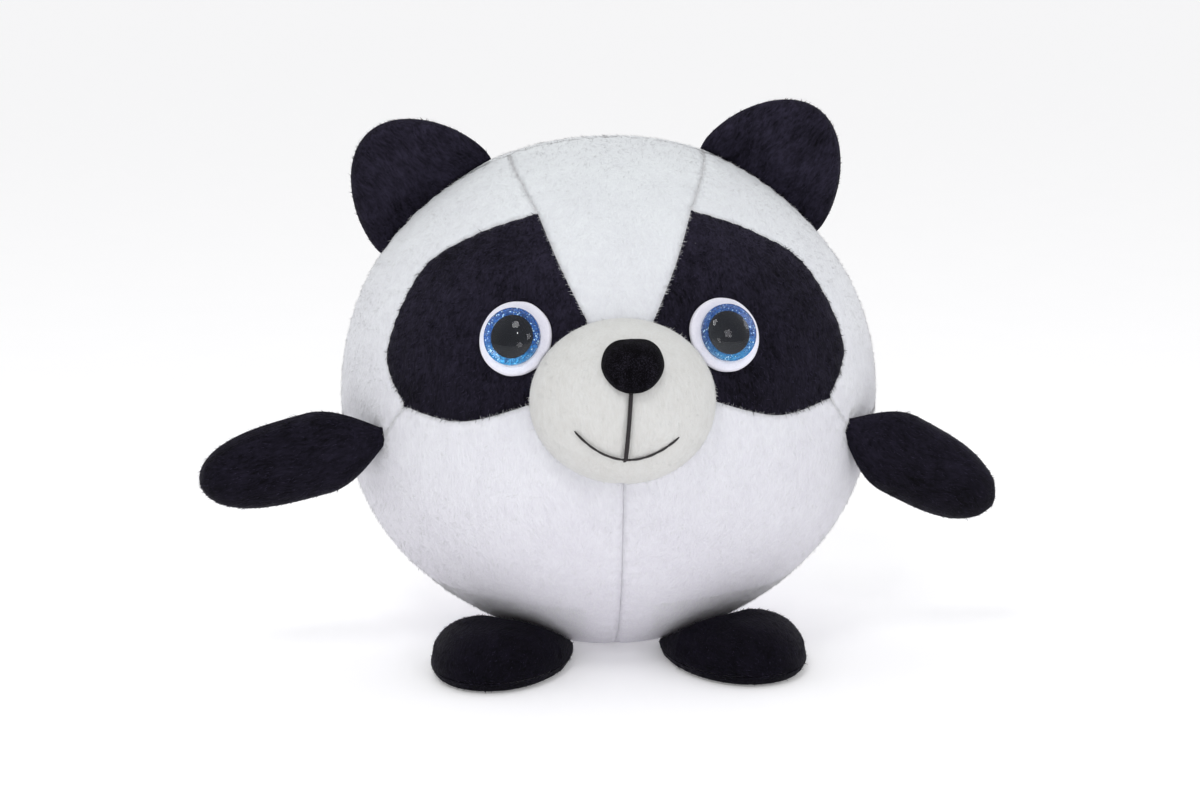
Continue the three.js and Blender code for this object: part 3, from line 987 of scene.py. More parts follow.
@dataclass(frozen=True)
class Pile:
    """Tufts of pile that stand on a sheet and lean the way it is combed."""

    length: float = 2.0 * MM
    width: float = 0.34 * MM
    per_square_mm: float = 0.8
    lean: float = 0.72
    scatter: float = 0.28
    sunk: float = 0.25 * MM
    upright: float = 0.8
    lowest: float = -1.0
    shades: bool = False

    def grow(
        self,
        name: str,
        points: Array,
        faces: Sequence[tuple[int, ...]],
        comb: Callable[[Array], Array],
        finishes: Sequence[bpy.types.Material],
        seed: int,
    ) -> bpy.types.Object:
        """Grows tufts all over a sheet.

        Args:
            name: The name of the piece that they make.
            points: The sheet's points.
            faces: Its triangles.
            comb: Gives the combed direction at places.
            finishes: The tufts' tones.
            seed: Which draw of tufts.

        Returns:
            The tufts, as one object of closed spikes.
        """
        draw = np.random.default_rng(seed)
        corners = np.array(faces)
        a, b, c = (points[corners[:, i]] for i in range(3))
        areas = np.linalg.norm(np.cross(b - a, c - a), axis=1) / 2
        count = int(areas.sum() / MM**2 * self.per_square_mm)
        chosen = draw.choice(len(corners), count, p=areas / areas.sum())
        share = np.sqrt(draw.random(count))[:, None]
        split = draw.random(count)[:, None]
        weights = [1 - share, share * (1 - split), share * split]
        normals = facing(points, faces)
        root = sum(w * points[corners[chosen, i]] for i, w in enumerate(weights))
        normal = unit(sum(w * normals[corners[chosen, i]] for i, w in enumerate(weights)))
        return self.strew(name, root, normal, comb(root), finishes, draw)

    def strew(
        self,
        name: str,
        root: Array,
        normal: Array,
        comb: Array,
        finishes: Sequence[bpy.types.Material],
        draw: np.random.Generator,
    ) -> bpy.types.Object:
        """Stands one tuft on each root.

        Args:
            name: The name of the piece that they make.
            root: Where the tufts stand.
            normal: The sheet's normals there.
            comb: The combed directions there.
            finishes: The tufts' tones.
            draw: The source of their small differences.

        Returns:
            The tufts, as one object of closed spikes.
        """
        count = len(root)
        combed = unit(comb - normal * np.sum(comb * normal, axis=1, keepdims=True))
        wild = draw.normal(size=(count, 3)) * self.scatter
        way = unit(normal * (1 - self.lean) + combed * self.lean + wild)
        way = unit(way + normal * np.maximum(0.12 - np.sum(way * normal, axis=1, keepdims=True), 0))
        across = unit(np.cross(way, normal + draw.normal(size=(count, 3)) * 0.3))
        third = np.cross(way, across)
        reach = self.length * draw.uniform(0.55, 1.25, (count, 1))
        girth = self.width / 2 * draw.uniform(0.7, 1.3, (count, 1))
        foot = root - normal * self.sunk
        turns = [2 * math.pi * i / 3 for i in range(3)]
        rings = [foot + girth * (math.cos(t) * across + math.sin(t) * third) for t in turns]
        tufts = np.stack([*rings, foot + way * reach], 1).reshape(-1, 3)
        tufts[:, 2] = np.maximum(tufts[:, 2], self.lowest)
        spike = np.array([[0, 1, 3], [1, 2, 3], [2, 0, 3], [0, 2, 1]])
        every = (np.arange(count)[:, None, None] * 4 + spike).reshape(-1, 3)
        tones = np.repeat(draw.integers(0, len(finishes), count), len(spike))
        piece = make_piece(name, tufts, every, finishes, tones)
        lit = unit(normal * self.upright + way * (1 - self.upright) + wild * 0.3)
        piece.data.normals_split_custom_set_from_vertices(np.repeat(lit, 4, axis=0).tolist())
        piece.visible_shadow = self.shades
        return piece


def deliver(
    piece: bpy.types.Object,
    body: str,
    stands_for: Sequence[str] = (),
) -> bpy.types.Object:
    """Hands a finished piece to the frame.

    Args:
        piece: The piece.
        body: The body that it rides on.
        stands_for: The plain solids that it replaces.

    Returns:
        The piece.
    """
    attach(piece, body)
    return note(piece, stands_for)


def note(
    piece: bpy.types.Object, stands_for: Sequence[str]
) -> bpy.types.Object:
    """Hides the plain solids that a piece stands for, and logs its face count.

    Args:
        piece: The piece.
        stands_for: The plain solids that it replaces.

    Returns:
        The piece.
    """
    if stands_for:
        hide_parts(*stands_for)
    log.info("%s: %d faces", piece.name, len(piece.data.polygons))
    return piece


# ---------------------------------------------------------------- the ball


@dataclass
class Ball:
    """The stuffed body: an ellipsoid on a flat underside, drawn in along its seams."""

    flattening: float = 3 * MM
    lump: float = 0.55 * MM
    lump_size: float = 0.045
    calm_reach: float = 26 * MM
    eye_dimple: float = 0.35 * MM
    pucker: float = 0.26 * MM
    pucker_length: float = 6.5 * MM
    seam_reach: float = 2.4 * MM
    radii: Array = field(init=False)
    centre: Array = field(init=False)
    calm_spots: Array = field(init=False)

    def __post_init__(self) -> None:
        """Takes the ball's size from the frame."""
        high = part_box("head_back_panel_left")[1]
        upright = (high.z + self.flattening) / 2
        self.radii = np.array([high.x, high.y, upright])
        self.centre = np.array([0, 0, high.z - upright])
        self.seam_points = np.zeros((0, 3))
        self.seam_depths = np.zeros(0)
        self.seam_runs = np.zeros(0)
        self.calm_spots = np.zeros((0, 3))

    def front(self, places: Array) -> Array:
        """Turns places seen from the front into directions.

        Args:
            places: Rows of x and height from the centre.

        Returns:
            Directions from the centre, on a unit sphere.
        """
        x, z = places[:, 0] / self.radii[0], places[:, 1] / self.radii[2]
        y = -np.sqrt(np.maximum(1 - x**2 - z**2, 0))
        return unit(np.stack([x, y, z], 1))

    def plain(self, directions: Array) -> Array:
        """The smooth ellipsoid's points in some directions."""
        return self.centre + self.radii * directions

    def normals(self, directions: Array) -> Array:
        """The smooth ellipsoid's normals in some directions."""
        return unit(directions / self.radii)

    def directions(self, points: Array) -> Array:
        """The directions of points near the surface."""
        return unit((points - self.centre) / self.radii)

    def depth_inside(self, points: Array) -> Array:
        """How far points lie under the smooth surface, below 0 outside it."""
        seen = (points - self.centre) / self.radii
        length = np.linalg.norm(seen, axis=1)
        away = unit(seen)
        return (1 - length) / np.maximum(np.linalg.norm(away / self.radii, axis=1), 1e-9)

    def underside(self, x: Array, y: Array) -> Array:
        """The height of the ball's lower surface over places on the ground."""
        share = 1 - (x / self.radii[0]) ** 2 - (y / self.radii[1]) ** 2
        return self.centre[2] - self.radii[2] * np.sqrt(np.maximum(share, 0))

    def add_seam(self, line: Array, depth: float) -> None:
        """Draws the surface in along a seam.

        Args:
            line: The seam's directions.
            depth: How deep it is drawn in.
        """
        points = spaced(self.plain(line), 1.0 * MM)
        runs = np.concatenate([[0], np.cumsum(np.linalg.norm(np.diff(points, axis=0), axis=1))])
        self.seam_points = np.concatenate([self.seam_points, points])
        self.seam_depths = np.concatenate([self.seam_depths, np.full(len(points), depth)])
        self.seam_runs = np.concatenate([self.seam_runs, runs])

    def skin(self, directions: Array) -> Array:
        """The plush's outer surface: seams drawn in, puckers across them and soft lumps.

        Args:
            directions: Directions from the centre.

        Returns:
            The surface's points.
        """
        points = self.plain(directions)
        far, index = nearest(points, self.seam_points)
        run = self.seam_runs[index] + 0.8 * self.pucker_length * lumps(points, 0.03, 5)
        ripple = np.cos(2 * math.pi * run / self.pucker_length)
        near = np.exp(-((far / self.seam_reach) ** 1.3))
        beside = np.exp(-(((far - 2.6 * MM) / (3.0 * MM)) ** 2))
        rise = -self.seam_depths[index] * near + self.pucker * ripple * beside
        calm = np.ones(len(points))
        if len(self.calm_spots):
            reach = nearest(points, self.calm_spots)[0]
            calm = smooth_step(reach, 0.55 * self.calm_reach, self.calm_reach)
        soft = self.lump * (0.6 + lumps(points, self.lump_size, 11))
        rise = (rise + soft) * calm - self.eye_dimple * (1 - calm)
        return points + self.normals(directions) * rise[:, None]


@dataclass
class Skin:
    """The sewn cover of the ball: eleven plush panels cut along its seams."""

    ball: Ball
    thickness: float = 1.3 * MM
    seam_gap: float = 0.04 * MM
    step: float = 2.1 * MM
    waist: float = -5.5 * MM
    waist_break: float = 83 * MM
    chin: float = 20 * MM
    side_y: float = 8 * MM
    crown_x: float = 38.5 * MM
    crown_drop: float = 2 * MM
    dart_length: float = 36 * MM
    patch_top: Place = (27 * MM, 73.5 * MM)
    patch_outer_bow: tuple[Place, ...] = (
        (49 * MM, 65.5 * MM),
        (68.5 * MM, 52 * MM),
        (81.6 * MM, 24 * MM),
    )
    patch_corner: Place = (75.2 * MM, 6.7 * MM)
    patch_low: Place = (55 * MM, 4.4 * MM)
    patch_muzzle_low: Place = (31 * MM, 12 * MM)
    patch_muzzle_top: Place = (9 * MM, 35 * MM)
    patch_inner_bow: Place = (19.5 * MM, 56 * MM)
    open_depth: float = 0.4 * MM
    faint_depth: float = 0.15 * MM
    fringe_floor: float = 1.5 * MM
    panel_floor: float = 0.2 * MM
    patch_rows: float = 5.0
    cheek_rows: float = 3.0
    seam_rows: float = 6.0
    arm_tufts: int = 260
    foot_tufts: int = 2600
    foot_across: tuple[float, float] = (12, 68)
    foot_heights: tuple[float, float] = (11, 27)
    patch_depth: float = 0.8 * MM
    belly_depth: float = 0.65 * MM
    dart_depth: float = 0.4 * MM

    def __post_init__(self) -> None:
        """Draws the seams of the left half."""
        ball = self.ball
        self.level = self.waist / ball.radii[2]
        crown_z = ball.radii[2] - self.crown_drop
        start, end = np.array(self.patch_top), np.array([self.crown_x, crown_z])
        shares = np.linspace(0, 1, 2000)[:, None]
        ray = start + (end - start) * shares
        within = np.sum((ray / ball.radii[[0, 2]]) ** 2, axis=1) <= 1
        ray = ray[within]
        self.crown = self._spaced(ball.front(ray))
        self.crown[-1] = unit(self.crown[-1] * (1, 0, 1))
        low, corner = self.patch_muzzle_low, self.patch_corner
        outer = [self.patch_top, *self.patch_outer_bow, corner]
        self.outer = self._front(bowed(outer))
        self.lower = self._front(bowed([corner, self.patch_low, low]))
        top = self.patch_muzzle_top
        share = (self.chin - low[1]) / (top[1] - low[1])
        drop = (low[0] + (top[0] - low[0]) * share, self.chin)
        self.cheek_low = self._front(np.array([low, drop]))
        self.cheek_top = self._front(np.array([drop, top]))
        self.inner = self._front(bowed([top, self.patch_inner_bow, self.patch_top]))
        self.hidden = self._front(np.array([drop, (0, self.chin)]))
        bend = self._front(np.array([corner, (self.waist_break, self.waist)]))
        side_turn = math.asin(self.side_y / ball.radii[1] / math.sqrt(1 - self.level**2))
        bend_turn = math.atan2(bend[-1][1], bend[-1][0])
        self.waist_front = joined([bend, self._waist_arc(bend_turn, 0)])
        self.waist_front = np.concatenate([self.waist_front, self._waist_arc(bend_turn, 0)[-1:]])
        self.waist_side = self._waist_arc(0, side_turn)
        self.waist_back = self._waist_arc(side_turn, math.pi / 2)
        self.crest = self._arc((0, 0, 1), self.crown[-1])
        self.temple_edge = self._arc(self.crown[-1], self.waist_side[0])
        self.side = self._side_arc()
        self.belly_middle = self._middle_arc(self.hidden[-1], self.side[-1])
        self.head_middle = self._middle_arc(np.array([0, 0, 1.0]), self.waist_back[-1])
        self.back_middle = self._middle_arc(self.waist_back[-1], self.side[-1])
        self.dart = self.crest_dart()
        self._sink_seams()

    def _spaced(self, line: Array) -> Array:
        """Spaces a line of directions evenly over the ball."""
        return self.ball.directions(spaced(self.ball.plain(line), 1.6 * MM))

    def _front(self, places: Array) -> Array:
        """A line of directions through places seen from the front."""
        fine = spaced(places, 0.4 * MM)
        return self._spaced(self.ball.front(fine))

    def _waist_arc(self, start: float, end: float) -> Array:
        """The level seam between two turns from the toy's left side towards its back."""
        turns = np.linspace(start, end, 200)
        flat = math.sqrt(1 - self.level**2)
        level = np.full(len(turns), self.level)
        return self._spaced(np.stack([flat * np.cos(turns), flat * np.sin(turns), level], 1))

    def _arc(self, start: Sequence[float], end: Sequence[float]) -> Array:
        """The seam in the plane of the ears, between two directions."""
        turns = np.linspace(math.atan2(start[2], start[0]), math.atan2(end[2], end[0]), 300)
        if end[1] > 1e-6 or end[2] < -1e-6:
            turns = np.linspace(turns[0], math.asin(self.level), 300)
        flat = np.stack([np.cos(turns), 0 * turns, np.sin(turns)], 1)
        return self._spaced(flat)

    def _side_arc(self) -> Array:
        """The side seam of the lower half, down to the middle of the underside."""
        y = self.side_y / self.ball.radii[1]
        flat = math.sqrt(1 - y * y)
        turns = np.linspace(math.asin(self.level / flat), -math.pi / 2, 300)
        return self._spaced(np.stack([flat * np.cos(turns), 0 * turns + y, flat * np.sin(turns)], 1))

    def _middle_arc(self, start: Array, end: Array) -> Array:
        """A seam in the middle plane, by the shorter way between two directions."""
        first, last = math.atan2(start[2], start[1]), math.atan2(end[2], end[1])
        if last - first > math.pi:
            last -= 2 * math.pi
        if first - last > math.pi:
            last += 2 * math.pi
        turns = np.linspace(first, last, 400)
        return self._spaced(np.stack([0 * turns, np.cos(turns), np.sin(turns)], 1))

    def crest_dart(self) -> Array:
        """The dart that runs forward from the top of the head."""
        angle = self.dart_length / self.ball.radii[2]
        end = np.array([0, -math.sin(angle), math.cos(angle)])
        return self._middle_arc(np.array([0, 0, 1.0]), end)

    def _sink_seams(self) -> None:
        """Draws the ball in along every seam that shows."""
        mirror = np.array([-1, 1, 1])
        open_seams = (self.waist_side, self.waist_back, self.crest, self.temple_edge, self.side)
        paired = [(self.crown, self.open_depth), (self.waist_front, self.faint_depth)]
        paired += [(line, self.open_depth) for line in open_seams]
        paired += [(line, self.patch_depth) for line in (self.outer, self.lower, self.inner)]
        for line, depth in paired:
            self.ball.add_seam(line, depth)
            self.ball.add_seam(line * mirror, depth)
        self.ball.add_seam(self.belly_middle, self.belly_depth)
        self.ball.add_seam(self.head_middle, self.open_depth)
        self.ball.add_seam(self.back_middle, self.open_depth)
        self.ball.add_seam(self.dart, self.dart_depth)

    def outlines(self) -> dict[str, Array]:
        """The outline of each panel: the forehead's, and the others' for the left half."""
        mirror = np.array([-1, 1, 1])
        half = [self.hidden[::-1], self.cheek_top, self.inner, self.crown, self.crest[::-1]]
        right = [line[::-1] * mirror for line in reversed(half)]
        return {
            "forehead_panel": joined([*half, *right]),
            "eye_patch": joined([self.outer, self.lower, self.cheek_low, self.cheek_top, self.inner]),
            "temple_panel": joined(
                [self.crown, self.temple_edge, self.waist_front[::-1], self.outer[::-1]]
            ),
            "belly_panel": joined(
                [
                    self.hidden[::-1],
                    self.cheek_low[::-1],
                    self.lower[::-1],
                    self.waist_front,
                    self.waist_side,
                    self.side,
                    self.belly_middle[::-1],
                ]
            ),
            "head_back_panel": joined(
                [self.crest, self.temple_edge, self.waist_side, self.waist_back, self.head_middle[::-1]]
            ),
            "back_panel": joined([self.waist_back, self.back_middle, self.side[::-1]]),
        }

    def panel(self, outline: Array) -> tuple[Array, Array, list[tuple[int, ...]]]:
        """Cuts one panel.

        Args:
            outline: Its outline, as directions.

        Returns:
            Its outer points, its inner points and its outer faces.
        """
        middle = unit(outline.mean(0))
        first = unit(np.cross((0.3, 0.1, 1.0), middle))
        second = np.cross(middle, first)
        angle = np.arccos(np.clip(outline @ middle, -1, 1))
        flat = np.stack([outline @ first, outline @ second], 1)
        flat = unit(flat) * angle[:, None]
        area = np.sum(flat[:, 0] * np.roll(flat[:, 1], -1) - flat[:, 1] * np.roll(flat[:, 0], -1))
        if area < 0:
            flat = flat[::-1]
        size = float(self.ball.radii.mean())
        ahead, behind = np.roll(flat, -1, axis=0) - flat, flat - np.roll(flat, 1, axis=0)
        run = unit(unit(ahead) + unit(behind))
        inward = np.stack([-run[:, 1], run[:, 0]], 1)
        flat = flat + inward * (self.seam_gap / size)
        points, faces = filled(flat, self.step / size)
        turn = np.linalg.norm(points, axis=1, keepdims=True)
        towards = points / np.maximum(turn, 1e-12)
        around = towards[:, :1] * first + towards[:, 1:] * second
        directions = unit(np.cos(turn) * middle + np.sin(turn) * around)
        outer = self.ball.skin(directions)
        outer[:, 2] = np.maximum(outer[:, 2], self.panel_floor)
        inner = outer - self.ball.normals(directions) * self.thickness
        inner[:, 2] = np.maximum(inner[:, 2], self.panel_floor + self.thickness)
        return outer, inner, faces

    def comb(self, at: Array) -> Array:
        """The way that the body's pile lies: down and out from the middle of the face."""
        away = unit(at - self.ball.centre)
        down = np.array([0, 0, -1.0]) + 0.35 * away * (1, 0.2, 0)
        swirl = np.stack([lumps(at, 0.05, 21), lumps(at, 0.05, 22), lumps(at, 0.05, 23)], 1)
        return down + 0.3 * swirl

    def make(self) -> None:
        """Makes and dresses every panel."""
        top = float(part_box("head_back_panel_left")[1].z)
        cloth = {
            "white_plush": WHITE.material((0, 0, -1), top),
            "black_plush": BLACK.material((0, 0, -1), top),
        }
        tufts = {"white_plush": WHITE.strands(), "black_plush": BLACK.strands()}
        piles = {
            "white_plush": Pile(length=1.7 * MM, width=0.22 * MM, lean=0.8, lowest=0.15 * MM),
            "black_plush": Pile(
                length=1.9 * MM, width=0.36 * MM, per_square_mm=1.5, lean=0.78, scatter=0.38, shades=True
            ),
        }
        seed = 100
        for stem, outline in self.outlines().items():
            slot = "black_plush" if stem == "eye_patch" else "white_plush"
            copies = [(stem, 1)] if stem == "forehead_panel" else [
                (f"{stem}_{side.word}", side.value) for side in Side
            ]
            for name, sign in copies:
                outer, inner, faces = self.panel(outline * (sign, 1, 1))
                points, solid = closed_shell(outer, inner, faces)
                piece = make_piece(f"{name}_cover", points, solid, [cloth[slot]])
                deliver(piece, "ball", [name])
                seed += 1
                pile = piles[slot].grow(f"{name}_pile", outer, faces, self.comb, tufts[slot], seed)
                deliver(pile, "ball")
        self._fringe(tufts["white_plush"])

    def _fringe(self, tufts: list[bpy.types.Material]) -> None:
        """White pile that overhangs the patches, the arms' roots, the feet and the white seams.

        Args:
            tufts: The tones of the pile.
        """
        draw = np.random.default_rng(77)
        pile = Pile(
            length=1.8 * MM, width=0.2 * MM, lean=0.86, scatter=0.22, sunk=0.1 * MM, lowest=0.15 * MM
        )
        hidden = [self.crown, self.waist_front, self.waist_side, self.crest, self.temple_edge]
        for side in Side:
            mirror = np.array([side.value, 1, 1])
            middle = self.ball.plain(unit(self.outer.mean(0) + self.inner.mean(0)) * mirror)
            parts = [self._arm_fringe(side, draw), self._foot_fringe(side, draw)]
            edges = ((self.outer, self.patch_rows), (self.inner, self.cheek_rows))
            for line, per_mm in (*edges, (self.lower, self.cheek_rows)):
                rows = self._rows(line * mirror, per_mm, draw)
                towards = unit(middle - rows)
                reach = draw.uniform(0.5, 1.4, (len(rows), 1)) * MM
                parts.append((rows - towards * reach, towards + (0, 0, -0.35)))
            for line in (*hidden, self.waist_back, self.side, self.head_middle, self.back_middle):
                rows = self._rows(line * mirror, self.seam_rows, draw)
                normals = self.ball.normals(self.ball.directions(rows))
                over = unit(np.cross(np.gradient(rows, axis=0), normals))
                over = over * draw.choice((-1.0, 1.0), (len(rows), 1))
                reach = draw.uniform(0.2, 0.9, (len(rows), 1))
                parts.append((rows - over * reach * MM, over + (0, 0, -0.5)))
            directions = self.ball.directions(np.concatenate([root for root, _ in parts]))
            combs = np.concatenate([comb for _, comb in parts])
            ground, normals = self.ball.skin(directions), self.ball.normals(directions)
            clear = ground[:, 2] > self.fringe_floor
            piece = pile.strew(
                f"fringe_{side.word}", ground[clear], normals[clear], combs[clear], tufts, draw
            )
            deliver(piece, "ball")

    def _rows(self, line: Array, per_mm: float, draw: np.random.Generator) -> Array:
        """Points thickly spaced along a seam, a little uneven."""
        rows = spaced(self.ball.plain(line), MM / per_mm)
        return rows + draw.normal(size=rows.shape) * 0.12 * MM

    def _arm_fringe(self, side: Side, draw: np.random.Generator) -> tuple[Array, Array]:
        """Roots and directions of the pile round an arm's root."""
        spot, out, across = Arm(self.ball, side).stance()
        through = np.cross(out, across)
        turns = draw.uniform(0, 2 * math.pi, self.arm_tufts)
        reach = draw.uniform(0.9, 1.6, self.arm_tufts)
        wide, deep = 5.5 * MM, 4.0 * MM
        aside = np.cos(turns)[:, None] * across * wide + np.sin(turns)[:, None] * through * deep
        outward = np.broadcast_to(out, (self.arm_tufts, 3))
        return spot + aside * reach[:, None], outward - aside / wide * 0.3

    def _foot_fringe(self, side: Side, draw: np.random.Generator) -> tuple[Array, Array]:
        """Roots and directions of the pile that hangs over a foot."""
        count = self.foot_tufts
        x = side.value * draw.uniform(*self.foot_across, count) * MM
        height = draw.uniform(*self.foot_heights, count) * MM
        z = (height - self.ball.centre[2]) / self.ball.radii[2]
        y = -np.sqrt(np.maximum(1 - z * z - (x / self.ball.radii[0]) ** 2, 0.02)) * self.ball.radii[1]
        points = np.stack([x, y, height], 1)
        return points, np.stack([x * 4, np.full(count, -0.5), np.full(count, -1.0)], 1)


# ---------------------------------------------------------------- muzzle, nose and mouth


@dataclass
class Muzzle:
    """The domed muzzle with its nose, mouth line and smile."""

    ball: Ball
    thickness: float = 1.3 * MM
    width: float = 63 * MM
    height: float = 56 * MM
    depth: float = 23 * MM
    middle: float = 13.5 * MM
    lift: float = 0.2 * MM
    nose_width: float = 21 * MM
    nose_height: float = 16.5 * MM
    nose_depth: float = 4.2 * MM
    nose_z: float = 28.5 * MM
    nose_shift: float = 2.4 * MM
    stitch_top: float = 1.5 * MM
    smile_shift: float = -0.4 * MM
    smile_tilt: float = -4.5
    mouth_low: float = -2.5 * MM
    smile_width: float = 35 * MM
    smile_rise: float = 8.5 * MM
    groove: float = 0.9 * MM

    def __post_init__(self) -> None:
        """Sets the dome on the front of the ball."""
        direction = self.ball.front(np.array([[0, self.middle]]))
        self.spot = self.ball.plain(direction)[0]
        self.axis = self.ball.normals(direction)[0]
        self.right = np.array([1.0, 0, 0])
        self.up = np.cross(self.right, -self.axis)
        self.up = self.up if self.up[2] > 0 else -self.up
        self.radii = np.array([self.width / 2, self.height / 2, self.depth])

    def dome(self, around: Array, over: Array, inset: float = 0.0) -> Array:
        """Points of the dome.

        Args:
            around: The angle round the dome's axis.
            over: The angle from its tip.
            inset: How much smaller the dome is all over.

        Returns:
            The points.
        """
        radii = self.radii - inset
        x = radii[0] * np.sin(over) * np.cos(around)
        z = radii[1] * np.sin(over) * np.sin(around)
        out = radii[2] * np.cos(over)
        return (
            self.spot
            + x[..., None] * self.right
            + z[..., None] * self.up
            + out[..., None] * self.axis
        )

    def front(self, x: Array, z: Array, lift: Array | float = 0.0) -> Array:
        """Points of the dome straight behind places seen from the front.

        Args:
            x: Places across.
            z: Heights from the ball's centre.
            lift: How far above the dome's surface.

        Returns:
            The points.
        """
        turn = np.stack([self.right, self.up, self.axis])
        sizes = self.radii + np.expand_dims(lift, -1)
        start = np.stack([x, 0 * x, z + self.ball.centre[2]], 1) - self.spot
        place = start @ turn.T / sizes
        way = (np.array([0, 1.0, 0]) @ turn.T) / sizes
        way = np.broadcast_to(way, place.shape)
        square = np.sum(way * way, axis=1)
        half = np.sum(place * way, axis=1)
        rest = np.sum(place * place, axis=1) - 1
        y = (-half - np.sqrt(np.maximum(half * half - square * rest, 0))) / square
        return np.stack([x, y, z + self.ball.centre[2]], 1)

    def make(self) -> None:
        """Makes and dresses the muzzle, nose and stitches."""
        self._make_cover()
        self._make_nose()
        self._make_stitches()

    def _make_cover(self) -> None:
        """The dome of cream plush, sewn down where it meets the face."""
        rings, steps = 40, 132
        around = np.linspace(0, 2 * math.pi, steps, endpoint=False)
        low, high = np.full(steps, 0.3), np.full(steps, 2.0)
        for _ in range(30):
            half = (low + high) / 2
            buried = self.ball.depth_inside(self.dome(around, half)) > -self.lift
            high = np.where(buried, half, high)
            low = np.where(buried, low, half)
        share = np.linspace(0, 1, rings + 1)[1:]
        over = share[:, None] * low
        grid = self.dome(np.broadcast_to(around, over.shape), over)
        outer = np.concatenate([self.dome(np.zeros(1), np.zeros(1)), grid.reshape(-1, 3)])
        normal = unit((outer - self.spot) @ np.stack([self.right, self.up, self.axis]).T / self.radii**2)
        normal = normal @ np.stack([self.right, self.up, self.axis])
        z = outer[:, 2] - self.ball.centre[2]
        mouth_x = self.smile_shift + (self.stitch_top - self.smile_shift) * (z - self.mouth_low) / (22 * MM)
        reach = np.exp(-(((outer[:, 0] - mouth_x) / (1.5 * MM)) ** 2))
        mouth = smooth_step(z, -26 * MM, -20 * MM) * (1 - smooth_step(z, 18 * MM, 22 * MM))
        below = 1 - 0.6 * (1 - smooth_step(z, self.mouth_low - 8 * MM, self.mouth_low))
        soft = lumps(outer, 0.02, 31) * 0.35 * MM * smooth_step(-outer[:, 1], 0.09, 0.105)
        outer = outer + normal * (soft - self.groove * reach * mouth * below)[:, None]
        inner = outer - normal * self.thickness
        faces = [(0, 1 + i, 1 + (i + 1) % steps) for i in range(steps)]
        faces += ring_faces(rings, steps, 1)
        normals = facing(outer, faces)
        if np.mean(np.sum(normals * normal, axis=1)) < 0:
            faces = [face[::-1] for face in faces]
        points, solid = closed_shell(outer, inner, faces)
        top = float(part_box("head_back_panel_left")[1].z)
        cover = make_piece("muzzle_cover_dome", points, solid, [CREAM.material((0, 0, -1), top)])
        deliver(cover, "ball", ["muzzle_cover"])
        pile = Pile(length=1.5 * MM, width=0.22 * MM, per_square_mm=1.0, lean=0.74)
        piece = pile.grow("muzzle_pile", outer, faces, self._comb, CREAM.strands(), 301)
        deliver(piece, "ball")

    def _comb(self, at: Array) -> Array:
        """The way that the muzzle's pile lies: away from the nose."""
        nose = np.array([0, at[:, 1].min(), self.ball.centre[2] + self.nose_z])
        return unit(at - nose) + np.array([0, 0, -0.25])

    def nose_outline(self) -> Array:
        """The nose's rounded, upside-down triangle, broad at the top, seen from the front."""
        half = [(0, 1), (0.5, 0.97), (0.85, 0.82), (1, 0.55), (0.9, 0.32), (0.62, 0.12), (0.3, 0.02)]
        turned = [(-x, z) for x, z in reversed(half[1:])]
        closed = bowed([*half, (0, 0), *turned, (0, 1)])
        x = self.nose_shift + closed[:, 0] * self.nose_width / 2
        z = self.nose_z + (closed[:, 1] - 0.5) * self.nose_height
        return spaced(np.stack([x, z], 1), 0.6 * MM)[:-1]

    def _make_nose(self) -> None:
        """The nose: a velvet cushion on the front of the muzzle."""
        outline = self.nose_outline()
        places, faces = filled(outline, 0.75 * MM)
        edge = nearest(places, outline)[0]
        edge[: len(outline)] = 0
        height = 0.45 * MM + self.nose_depth * pillowed(edge, 4.6 * MM, 2.2)
        outer = self.front(places[:, 0], places[:, 1], height)
        inner = self.front(places[:, 0], places[:, 1], 0.25 * MM)
        normals = facing(outer, faces)
        if normals[:, 1].mean() > 0:
            faces = [face[::-1] for face in faces]
        points, solid = closed_shell(outer, inner, faces)
        nose = make_piece("nose_cushion", points, solid, [Velvet().material()])
        deliver(nose, "ball", ["nose"])

    def spindle(self, line: Array, girth: float, lift: float) -> tuple[Array, list[tuple[int, ...]]]:
        """One stitch: a thread that comes up, lies along the muzzle and goes down again.

        Args:
            line: The stitch's places, seen from the front.
            girth: The thread's radius in the middle.
            lift: How high its middle stands.

        Returns:
            The stitch's points and faces.
        """
        steps, sides = 9, 8
        line = spaced(line, np.linalg.norm(line[-1] - line[0]) / (steps - 1))[:steps]
        steps = len(line)
        share = np.linspace(0, 1, steps)
        bow = np.sin(share * math.pi) ** 0.5
        path = self.front(line[:, 0], line[:, 1], 0.1 * MM + lift * bow)
        along = unit(np.gradient(path, axis=0))
        aside = unit(np.cross(along, self.axis))
        over = np.cross(aside, along)
        turns = np.linspace(0, 2 * math.pi, sides, endpoint=False)
        rings = [
            path[k] + girth * (0.35 + 0.65 * bow[k]) * (math.cos(t) * aside[k] + math.sin(t) * over[k])
            for k in range(steps)
            for t in turns
        ]
        points = np.concatenate([np.array(rings), path[:1], path[-1:]])
        faces = []
        for k in range(steps - 1):
            for i in range(sides):
                j = (i + 1) % sides
                a, b = k * sides, (k + 1) * sides
                faces.append((a + i, a + j, b + j, b + i))
        start, end = len(points) - 2, len(points) - 1
        last = (steps - 1) * sides
        faces += [(start, (i + 1) % sides, i) for i in range(sides)]
        faces += [(end, last + i, last + (i + 1) % sides) for i in range(sides)]
        return points, faces

